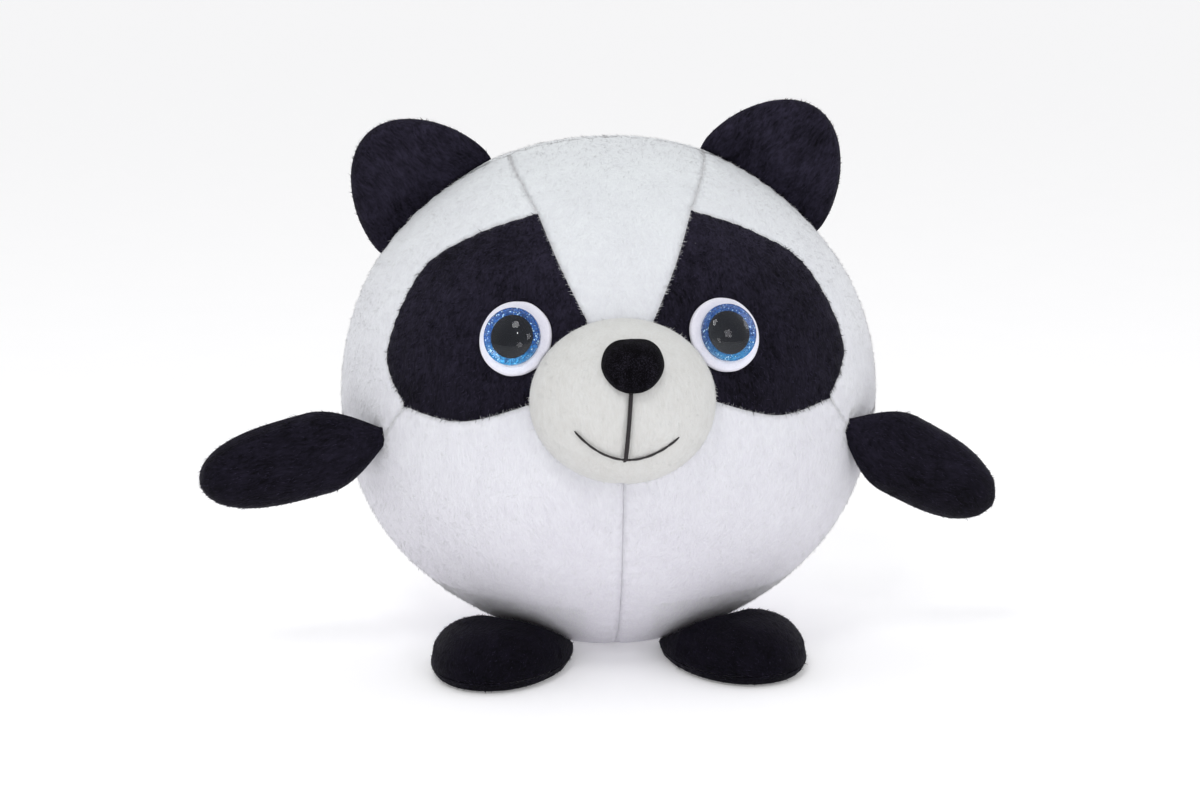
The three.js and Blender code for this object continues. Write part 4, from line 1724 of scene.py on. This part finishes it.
    def _sew(self, name: str, stitches: list[tuple[Array, float, float]], node: str) -> None:
        """Joins stitches into one piece of thread.

        Args:
            name: The piece's name.
            stitches: Each stitch's places, radius and height.
            node: The plain solid that it replaces.
        """
        points, faces = [], []
        for line, girth, lift in stitches:
            start = sum(len(p) for p in points)
            more, sides = self.spindle(line, girth, lift)
            points.append(more)
            faces += [tuple(i + start for i in face) for face in sides]
        finish = Thread(name, (0.004, 0.003, 0.004), (0.022, 0.013, 0.016)).material()
        piece = make_piece(name, np.concatenate(points), faces, [finish])
        face_out(piece)
        deliver(piece, "ball", [node])

    def _make_stitches(self) -> None:
        """The mouth line in close satin stitch, and the smile in long back stitches."""
        half = self.smile_width / 2
        ends = self.mouth_low + self.smile_rise
        steps = 60
        share = np.linspace(0, 1, steps + 1)[:, None]
        low = np.array([0, self.mouth_low - self.smile_rise])
        left, right = np.array([-half, ends]), np.array([half, ends])
        smile = (1 - share) ** 2 * left + 2 * share * (1 - share) * low + share**2 * right
        top = self.nose_z - self.nose_height / 2 + 0.8 * MM
        pivot = smile[steps // 2]
        bottom = float(pivot[1]) - 0.3 * MM
        tilt = math.radians(self.smile_tilt)
        turn = np.array([[math.cos(tilt), math.sin(tilt)], [-math.sin(tilt), math.cos(tilt)]])
        smile = pivot + (self.smile_shift, 0) + (smile - pivot) @ turn
        satin = []
        count = int((top - bottom) / (0.62 * MM))
        for i in range(count):
            z = bottom + (top - bottom) * i / (count - 1)
            lean, wide = 0.5 * MM, 0.7 * MM
            x = self.smile_shift + (self.stitch_top - self.smile_shift) * i / (count - 1)
            satin.append((np.array([[x - wide, z - lean], [x + wide, z + lean]]), 0.38 * MM, 0.5 * MM))
        self._sew("mouth_line_thread", satin, "mouth_stitch")
        back = []
        stitches = 9
        for i in range(stitches):
            start = int(round(steps * i / stitches))
            end = min(int(round(steps * (i + 1) / stitches)) + 2, steps)
            back.append((smile[max(start - 1, 0) : end + 1], 0.42 * MM, 0.4 * MM))
        self._sew("smile_thread", back, "smile_stitch")


# ---------------------------------------------------------------- eyes


@dataclass
class Eyes:
    """Safety eyes: a felt washer, a glitter disc, a pupil on its post and a clear dome."""

    ball: Ball
    muzzle: Muzzle
    x: float = 35.7 * MM
    z: float = 33.5 * MM
    felt_radius: float = 13 * MM
    felt_low: float = 0.3 * MM
    felt_high: float = 2.0 * MM
    felt_rim: float = 0.5 * MM
    fuzz: float = 0.07 * MM
    glitter_low: float = 2.1 * MM
    glitter_radius: float = 9.7 * MM
    glitter_thickness: float = 0.6 * MM
    lens_low: float = 2.98 * MM
    lens_radius: float = 10 * MM
    lens_height: float = 6.5 * MM
    lens_rim: float = 0.7 * MM
    pupil_radius: float = 6.75 * MM
    pupil_low: float = 2.74 * MM
    pupil_thickness: float = 0.2 * MM
    post_radius: float = 2.25 * MM
    post_length: float = 17 * MM
    gap: float = 0.3 * MM

    def seat(self, side: Side) -> tuple[Array, Array]:
        """Where an eye sits, and the way it looks."""
        direction = self.ball.front(np.array([[side.value * self.x, self.z]]))
        return self.ball.plain(direction)[0], self.ball.normals(direction)[0]

    def make(self) -> None:
        """Makes and dresses both eyes."""
        felt = Felt().material()
        lens = Lens().material()
        pupil = Moulded("black_plastic", (0.004, 0.004, 0.006), 0.08).material()
        glitter = Glitter().material(float(self.ball.centre[2]) + self.z, self.glitter_radius)
        for side in Side:
            spot, way = self.seat(side)
            self._make_felt(side, spot, way, felt)
            low, high = self.glitter_low, self.glitter_low + self.glitter_thickness
            hole = self.post_radius + self.gap
            ring = [(hole, low), (self.glitter_radius, low), (self.glitter_radius, high), (hole, high)]
            self._turn(f"glitter_ring_{side.word}", ring, spot, way, glitter,
                       f"eye_glitter_disc_{side.word}", True)
            self._turn(f"clear_dome_{side.word}", self._dome(), spot, way, lens,
                       f"eye_lens_{side.word}", False)
            self._turn(f"pupil_{side.word}", self._pupil(), spot, way, pupil,
                       f"eye_pupil_post_{side.word}", False)

    def _turn(
        self,
        name: str,
        profile: list[Place],
        spot: Array,
        way: Array,
        finish: bpy.types.Material,
        node: str,
        flat: bool,
    ) -> None:
        """Turns and delivers one round piece.

        Args:
            name: The piece's name.
            profile: Its radius and height pairs.
            spot: The eye's seat.
            way: The way that the eye looks.
            finish: Its material.
            node: The plain solid that it replaces.
            flat: Whether its faces stay flat-shaded.
        """
        points, faces = lathe(profile, spot, way)
        piece = make_piece(name, points, faces, [finish])
        face_out(piece)
        if flat:
            piece.data.polygons.foreach_set("use_smooth", np.zeros(len(faces), bool))
        deliver(piece, "ball", [node])

    def _dome(self) -> list[Place]:
        """The clear dome's profile, flat at its back."""
        low, radius = self.lens_low, self.lens_radius
        turns = np.linspace(0, math.pi / 2, 40)
        crown = self.lens_height - self.lens_rim
        rise = [(radius * math.cos(t), low + self.lens_rim + crown * math.sin(t)) for t in turns]
        rise[-1] = (0.0, low + self.lens_height)
        edge = 0.25 * MM
        base = [(radius - edge, low), (radius, low + edge)]
        return [(0.0, low), *base, *rise]

    def _pupil(self) -> list[Place]:
        """The profile of the pupil and its post."""
        low, high = self.pupil_low, self.pupil_low + self.pupil_thickness
        foot = low - self.post_length
        edge = 0.08 * MM
        wide = self.pupil_radius
        rounded = [(wide, low), (wide, high - edge), (wide - edge, high)]
        return [(0.0, foot), (self.post_radius, foot), (self.post_radius, low), *rounded, (0.0, high)]

    def _make_felt(self, side: Side, spot: Array, way: Array, finish: bpy.types.Material) -> None:
        """The felt disc that follows the face, trimmed where the muzzle rises.

        Args:
            side: Which eye.
            spot: Its seat.
            way: The way that it looks.
            finish: The felt.
        """
        steps, rings = 120, 16
        ways = spokes(way, steps)
        reach = np.full(steps, self.felt_radius) + self.fuzz * lumps(ways * 0.013, 0.004, 41)
        turn = np.stack([self.muzzle.right, self.muzzle.up, self.muzzle.axis])
        for _ in range(40):
            edge = spot + ways * reach[:, None]
            away = (edge - self.muzzle.spot) @ turn.T / (self.muzzle.radii + self.gap)
            reach = np.where(np.linalg.norm(away, axis=1) < 1, reach - 0.1 * MM, reach)
        hole = self.post_radius + self.gap
        shares = 1 - (1 - np.linspace(0, 1, rings)) ** 1.6
        radii = hole + (reach - hole) * shares[:, None]
        flat = spot + ways * radii[..., None]
        directions = self.ball.directions(flat.reshape(-1, 3))
        base, normal = self.ball.plain(directions), self.ball.normals(directions)
        inset = (reach - radii).reshape(-1)
        round_off = pillowed(inset, 0.9 * MM)
        fuzz = self.fuzz * lumps(base, 0.0016, 42)
        rim = self.felt_rim
        top = self.felt_low + rim + (self.felt_high - self.felt_low - rim) * round_off
        outer = base + normal * (top + fuzz * round_off)[:, None]
        inner = base + normal * self.felt_low
        faces = ring_faces(rings, steps)
        if np.sum(facing(outer, faces) * normal) < 0:
            faces = [face[::-1] for face in faces]
        points, solid = closed_shell(outer, inner, faces)
        piece = make_piece(f"felt_ring_{side.word}", points, solid, [finish])
        deliver(piece, "ball", [f"eye_felt_{side.word}"])


# ---------------------------------------------------------------- limbs


@dataclass
class SewnLimb:
    """A limb of two plies sewn round their edge, swollen by its filling and held at its root."""

    ball: Ball
    side: Side
    skin: float = 1.2 * MM
    seam_gap: float = 0.1 * MM
    edge: float = 0.3 * MM
    step: float = 1.6 * MM
    kind: str = "limb"
    plies: tuple[str, str] = ("front", "back")
    settle: float = 12 * MM
    held: float = 6 * MM
    fullness: float = 0.9
    tuft: Pile = Pile(
        length=1.7 * MM, width=0.3 * MM, per_square_mm=1.6, lean=0.86, lowest=0.15 * MM, shades=True
    )

    def stance(self) -> tuple[Array, Array, Array]:
        """The root's middle, the way out along the limb, and the way across it."""
        raise NotImplementedError

    def outline(self) -> Array:
        """The limb's sewn outline, along and across."""
        raise NotImplementedError

    def loft(self, places: Array, edge: Array) -> tuple[Array, Array]:
        """How far the first and the second ply stand off the middle plane."""
        raise NotImplementedError

    def cleared(self, points: Array) -> Array:
        """Keeps points clear of what is round the limb."""
        return points

    def make(self, cloth: bpy.types.Material, tufts: list[bpy.types.Material], seed: int) -> None:
        """Makes and dresses the limb.

        Args:
            cloth: The plush.
            tufts: The tones of its pile.
            seed: Which draw of pile.
        """
        name = f"{self.kind}_{self.side.word}"
        root, out, across = self.stance()
        through = np.cross(out, across)
        outline = self.outline()
        places, faces = filled(outline, self.step)
        rim = len(outline)
        edge = nearest(places, outline)[0]
        edge[:rim] = 0
        plane = root + places[:, :1] * out + places[:, 1:] * across
        heights = self.loft(places, edge)
        blanks = [plane + sign * h[:, None] * through * self.fullness for sign, h in zip((1, -1), heights)]
        count = len(places)
        other = np.where(np.arange(count) < rim, np.arange(count), np.arange(count) + count - rim)
        closed = faces + [tuple(int(other[i]) for i in reversed(face)) for face in faces]
        points = np.concatenate([blanks[0], blanks[1][rim:]])
        held = 1 - smooth_step((points - root) @ out, 0.3 * self.held, self.held)
        swollen = Inflation().swell(points, closed, held)
        upper, lower = swollen[:count], swollen[other]
        middle = (upper + lower) / 2
        start, end = root, root + out * self.settle
        for ply, sheet, sign in zip(self.plies, (upper, lower), (1, -1)):
            off = sheet - middle
            depth = np.linalg.norm(off, axis=1, keepdims=True)
            way = np.where(depth > 0.2 * MM, off / np.maximum(depth, 1e-9), sign * through)
            outer = self.cleared(sheet + way * self.edge + sign * through * self.seam_gap)
            inner = outer - way * np.minimum(depth + self.edge, self.skin)
            turned = faces if sign > 0 else [face[::-1] for face in faces]
            if np.sum(facing(outer, turned) * through * sign) < 0:
                turned = [face[::-1] for face in turned]
            shell, solid = closed_shell(outer, inner, turned)
            piece = make_piece(f"{name}_{ply}_cover", shell, solid, [cloth])
            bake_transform(piece)
            note(piece, [f"{self.kind}_{ply}_{self.side.word}"])
            pile = self.tuft.grow(
                f"{name}_{ply}_pile",
                outer,
                turned,
                lambda at: np.broadcast_to(out, at.shape),
                tufts,
                seed,
            )
            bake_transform(pile)
            note(pile, ())
            seed += 1


@dataclass
class Ear(SewnLimb):
    """A half-round ear on the seam over the head."""

    kind: str = "ear"
    settle: float = 9 * MM
    width: float = 55 * MM
    height: float = 34 * MM
    thickness: float = 10 * MM
    narrowing: float = 0.16
    tilts: tuple[float, float] = (37.5, 42.0)
    lift: float = 3 * MM
    root_share: float = 0.3
    taper: float = 13 * MM

    def stance(self) -> tuple[Array, Array, Array]:
        """The root's middle, the way out along the ear, and the way across it."""
        sign = self.side.value
        tilt = math.radians(self.tilts[0 if sign > 0 else 1])
        out = np.array([sign * math.sin(tilt), 0, math.cos(tilt)])
        across = np.array([math.cos(tilt), 0, -sign * math.sin(tilt)])
        surface = 1 / np.linalg.norm(out / self.ball.radii)
        return self.ball.centre + out * surface, out, across

    def outline(self) -> Array:
        """The half-round edge, and a root that follows the head."""
        turns = np.linspace(-math.pi, math.pi, 721)
        high = self.lift + (self.height - self.lift) * np.cos(turns)
        wide = self.width / 2 * np.sin(turns) * (1 - self.narrowing * np.maximum(high, 0) / self.height)
        root = -(wide**2) / (2 * self.ball.radii[0]) - 0.4 * MM
        kept = high >= root
        edge = np.stack([high, wide], 1)[kept]
        ends = np.linspace(edge[-1, 1], edge[0, 1], 60)
        base = np.stack([-(ends**2) / (2 * self.ball.radii[0]) - 0.4 * MM, ends], 1)
        return np.concatenate([spaced(edge, 1.4 * MM), spaced(base, 1.4 * MM)[1:-1]])

    def loft(self, places: Array, edge: Array) -> tuple[Array, Array]:
        """Both plies bow out alike, thin at the root."""
        pillow = pillowed(edge, 11 * MM)
        along = places[:, 0] + places[:, 1] ** 2 / (2 * self.ball.radii[0])
        root = self.root_share + (1 - self.root_share) * smooth_step(along, 0, self.taper)
        height = self.thickness / 2 * pillow * root
        return height, height


@dataclass
class Arm(SewnLimb):
    """A leaf-shaped arm in the waist seam."""

    kind: str = "arm"
    length: float = 68 * MM
    width: float = 30 * MM
    thickness: float = 19 * MM
    root_width: float = 0.2
    wide_at: float = 0.36
    bluntness: float = 3.2
    x: float = 83 * MM
    z: float = -5.5 * MM

    def stance(self) -> tuple[Array, Array, Array]:
        """The root's middle, the way out along the arm, and the way across it."""
        left = self.side is Side.LEFT
        droop, sweep = (math.radians(a) for a in ((29.5, 18) if left else (15, 4)))
        sign = self.side.value
        level = math.cos(droop)
        out = np.array([sign * math.cos(sweep) * level, math.sin(sweep) * level, -math.sin(droop)])
        up = unit(np.array([0, 0, 1.0]) - out * out[2])
        spot = self.ball.plain(self.ball.front(np.array([[sign * self.x, self.z]])))[0]
        return spot, out, -sign * up

    def outline(self) -> Array:
        """A leaf: narrow at the root, wide before its middle and round at the tip."""
        along = np.concatenate([np.linspace(-1.0 * MM, 0.9 * self.length, 120),
                                self.length * (1 - 0.1 * np.linspace(1, 0, 60)[1:] ** 2)])
        swell = np.sin(np.clip(along / (self.wide_at * self.length), 0, 1) * math.pi / 2)
        grow = self.root_width + (1 - self.root_width) * swell
        turn = self.wide_at * self.length
        past = np.clip((along - turn) / (self.length - turn), 0, 1)
        half = self.width / 2 * grow * np.sqrt(1 - past**self.bluntness)
        one = np.stack([along, half], 1)
        edge = np.concatenate([one, one[::-1][1:] * (1, -1)])
        root = np.array([[along[0], -half[0]], [along[0], half[0]]])
        return np.concatenate([spaced(edge, 1.4 * MM), spaced(root, 1.4 * MM)[1:-1]])

    def loft(self, places: Array, edge: Array) -> tuple[Array, Array]:
        """Both plies bow out alike, thin at the root."""
        pillow = pillowed(edge, 12.5 * MM)
        root = 0.5 + 0.5 * smooth_step(places[:, 0], 0, 0.34 * self.length)
        height = self.thickness / 2 * pillow * root
        return height, height


@dataclass
class Foot(SewnLimb):
    """An oval foot that lies flat on the ground under the belly."""

    kind: str = "foot"
    plies: tuple[str, str] = ("upper", "sole")
    settle: float = 16 * MM
    length: float = 73 * MM
    width: float = 50 * MM
    height: float = 18.5 * MM
    edge_height: float = 4.0 * MM
    lowest: float = 0.3 * MM
    tuck: float = 8 * MM
    splay: float = 14.0
    hinge: tuple[float, float, float] = (35 * MM, -22 * MM, 3 * MM)
    clearance: float = 0.55 * MM
    fold_room: float = 0.145

    def stance(self) -> tuple[Array, Array, Array]:
        """The root's middle, the way out along the foot, and the way across it."""
        splay, sign = math.radians(self.splay), self.side.value
        out = np.array([sign * math.sin(splay), -math.cos(splay), 0])
        across = np.array([math.cos(splay), sign * math.sin(splay), 0])
        root = np.array([sign * self.hinge[0], self.hinge[1], self.edge_height])
        return root, out, across

    def outline(self) -> Array:
        """A broad oval that starts a little behind the hinge."""
        turns = np.linspace(0, 2 * math.pi, 400)
        power = 2 / 2.05
        cosine, sine = np.cos(turns), np.sin(turns)
        along = np.sign(cosine) * np.abs(cosine) ** power * self.length / 2
        aside = np.sign(sine) * np.abs(sine) ** power * self.width / 2
        middle = self.length / 2 - self.tuck
        return spaced(np.stack([middle + along, aside], 1), 1.5 * MM)[:-1]

    def loft(self, places: Array, edge: Array) -> tuple[Array, Array]:
        """The upper domes towards the toe and the sole is flat on the ground."""
        pillow = pillowed(edge, 19 * MM, 2.1)
        root = 0.3 + 0.7 * smooth_step(places[:, 0] + self.tuck, 0, 0.62 * self.length)
        sole = (self.edge_height - 0.7 * MM) * pillowed(edge, self.edge_height)
        return (self.height - self.edge_height) * pillow * root / self.fullness, sole / self.fullness

    def cleared(self, points: Array) -> Array:
        """Keeps the foot on the ground and out of the belly, with room to fold up."""
        root, out, _ = self.stance()
        along = np.maximum((points - root) @ out, 0)
        roof = self.ball.underside(points[:, 0], points[:, 1]) - self.clearance - self.fold_room * along
        under = self.ball.depth_inside(points + [0, 0, 2 * MM]) > -12 * MM
        height = np.where(under & (points[:, 1] > -80 * MM), np.minimum(points[:, 2], roof), points[:, 2])
        found = points.copy()
        found[:, 2] = np.maximum(height, self.lowest)
        return found


# ---------------------------------------------------------------- insides and studio


class Insides:
    """What the covers hide: the fibrefill and the eyes' washers."""

    def make(self) -> None:
        """Dresses the inner solids, which stay as they are."""
        fill = Fibrefill().material()
        washer = Moulded("white_plastic", (0.72, 0.72, 0.70), 0.35).material()
        for name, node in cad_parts.items():
            if "stuffing" in name or "washer" in name:
                node.data.materials.clear()
                node.data.materials.append(fill if "stuffing" in name else washer)
                log.info("%s: inner solid dressed", name)


@dataclass(frozen=True)
class Lamp:
    """A square soft lamp that faces the toy."""

    name: str
    spot: tuple[float, float, float]
    size: float
    power: float
    colour: Colour = (1.0, 1.0, 1.0)


LAMPS = (
    Lamp("key_light", (-0.35, -0.85, 1.25), 0.4, 4.4),
    Lamp("fill_light", (0.6, -1.2, 0.6), 0.4, 2.2, (0.98, 0.96, 1.0)),
    Lamp("low_light", (-0.1, -1.3, 0.17), 0.3, 1.0, (1.0, 0.99, 1.0)),
    Lamp("left_spark", (-0.2, -0.8, 0.62), 0.03, 0.35),
    Lamp("right_spark", (0.12, -0.8, 0.62), 0.03, 0.35, (0.95, 1.0, 0.97)),
)


@dataclass
class Studio:
    """A pale floor, soft lights and the camera."""

    ball: Ball
    distance: float = 0.9
    elevation: float = 11.0
    azimuth: float = -2.8
    roll: float = 0.6
    lens: float = 71.4
    aim_left: float = 3.0 * MM
    aim_down: float = 4.5 * MM
    surround: float = 1.0
    floor_radius: float = 40.0
    floor_glow: float = 0.2
    fall_off: tuple[float, float] = (0.2, 0.6)
    behind_camera: Colour = (0.3, 0.3, 0.31)

    def make(self) -> None:
        """Sets up everything round the toy."""
        self._make_camera()
        self._make_floor()
        self._make_surround()
        self._make_lights()

    def _make_camera(self) -> None:
        """The camera, a little above the toy's middle and slightly rolled."""
        el, az, roll = (math.radians(a) for a in (self.elevation, self.azimuth, self.roll))
        back = Vector((math.sin(az) * math.cos(el), -math.cos(az) * math.cos(el), math.sin(el)))
        right = Vector((math.cos(az), math.sin(az), 0))
        up = back.cross(right)
        level_right, level_up = right.copy(), up.copy()
        right = level_right * math.cos(roll) - level_up * math.sin(roll)
        up = level_up * math.cos(roll) + level_right * math.sin(roll)
        aim = Vector(self.ball.centre) - right * self.aim_left - up * self.aim_down
        data = bpy.data.cameras.new("studio_camera")
        data.lens = self.lens
        data.sensor_width = 36
        data.clip_start, data.clip_end = 0.01, 100
        camera = bpy.data.objects.new("studio_camera", data)
        place = Matrix((right, up, back)).transposed().to_4x4()
        place.translation = aim + back * self.distance
        camera.matrix_world = place
        bpy.context.scene.collection.objects.link(camera)
        bpy.context.scene.camera = camera

    def _make_floor(self) -> None:
        """A broad pale floor."""
        bench = Bench("pale_floor")
        grain = bench.noise(bench.place(), 0.05, 2.0)
        colour = grain.blend((0.93, 0.93, 0.94), (0.96, 0.96, 0.965))
        inputs = {
            "Base Color": colour,
            "Roughness": 0.8,
            "Emission Color": (1.0, 1.0, 1.0),
            "Emission Strength": self.floor_glow,
        }
        finish = bench.coat(inputs)
        broad = self.floor_radius
        points, faces = lathe([(0.0, -8 * MM), (broad, -8 * MM), (broad, 0.0), (0.0, 0.0)],
                              np.array([0, 0, -0.3 * MM]), np.array([0, 0, 1.0]), 64)
        floor = make_piece("studio_floor", points, faces, [finish])
        face_out(floor)
        floor.data.polygons.foreach_set("use_smooth", np.zeros(len(faces), bool))

    def _make_surround(self) -> None:
        """A white surround behind the toy that falls off behind the camera."""
        world = bpy.data.worlds.new("studio_surround")
        bpy.context.scene.world = world
        bench = Bench("studio_surround", world)
        ahead = bench.node("ShaderNodeTexCoord", output="Generated").dot((0, 0.5, 0)) + 0.5
        dim, bright = self.fall_off
        stops = [(dim, (*self.behind_camera, 1)), (bright, (1, 1, 1, 1))]
        fall = bench.node("ShaderNodeValToRGB", {"stops": stops}, {"Fac": ahead})
        seen = bench.node("ShaderNodeLightPath", output="Is Camera Ray")
        inputs = {"Color": seen.blend(fall, (1.0, 1.0, 1.0)), "Strength": self.surround}
        bench.close(bench.node("ShaderNodeBackground", None, inputs))

    def _make_lights(self) -> None:
        """A soft key from above on the left, a fill from the right, a low fill and two sparks."""
        middle = Vector(self.ball.centre)
        for lamp in LAMPS:
            data = bpy.data.lights.new(lamp.name, "AREA")
            data.shape = "SQUARE"
            data.size = lamp.size
            data.energy = lamp.power
            data.color = lamp.colour
            held = bpy.data.objects.new(lamp.name, data)
            held.location = lamp.spot
            held.rotation_euler = (middle - Vector(lamp.spot)).to_track_quat("-Z", "Y").to_euler()
            bpy.context.scene.collection.objects.link(held)
        bpy.context.scene.view_settings.view_transform = "Standard"


def main() -> None:
    """Builds the toy, piece by piece, and reports each one."""
    logging.basicConfig(level=logging.INFO, format="%(name)s %(message)s")
    ball = Ball()
    Studio(ball).make()
    muzzle = Muzzle(ball)
    eyes = Eyes(ball, muzzle)
    ball.calm_spots = np.array([eyes.seat(side)[0] for side in Side])
    Skin(ball).make()
    muzzle.make()
    eyes.make()
    top = float(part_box("head_back_panel_left")[1].z)
    tufts = BLACK.strands()
    seed = 400
    for limb in (Ear, Arm, Foot):
        for side in Side:
            made = limb(ball, side)
            made.make(BLACK.material(tuple(made.stance()[1]), top), tufts, seed)
            seed += 10
    Insides().make()


if __name__ == "__main__":
    main()
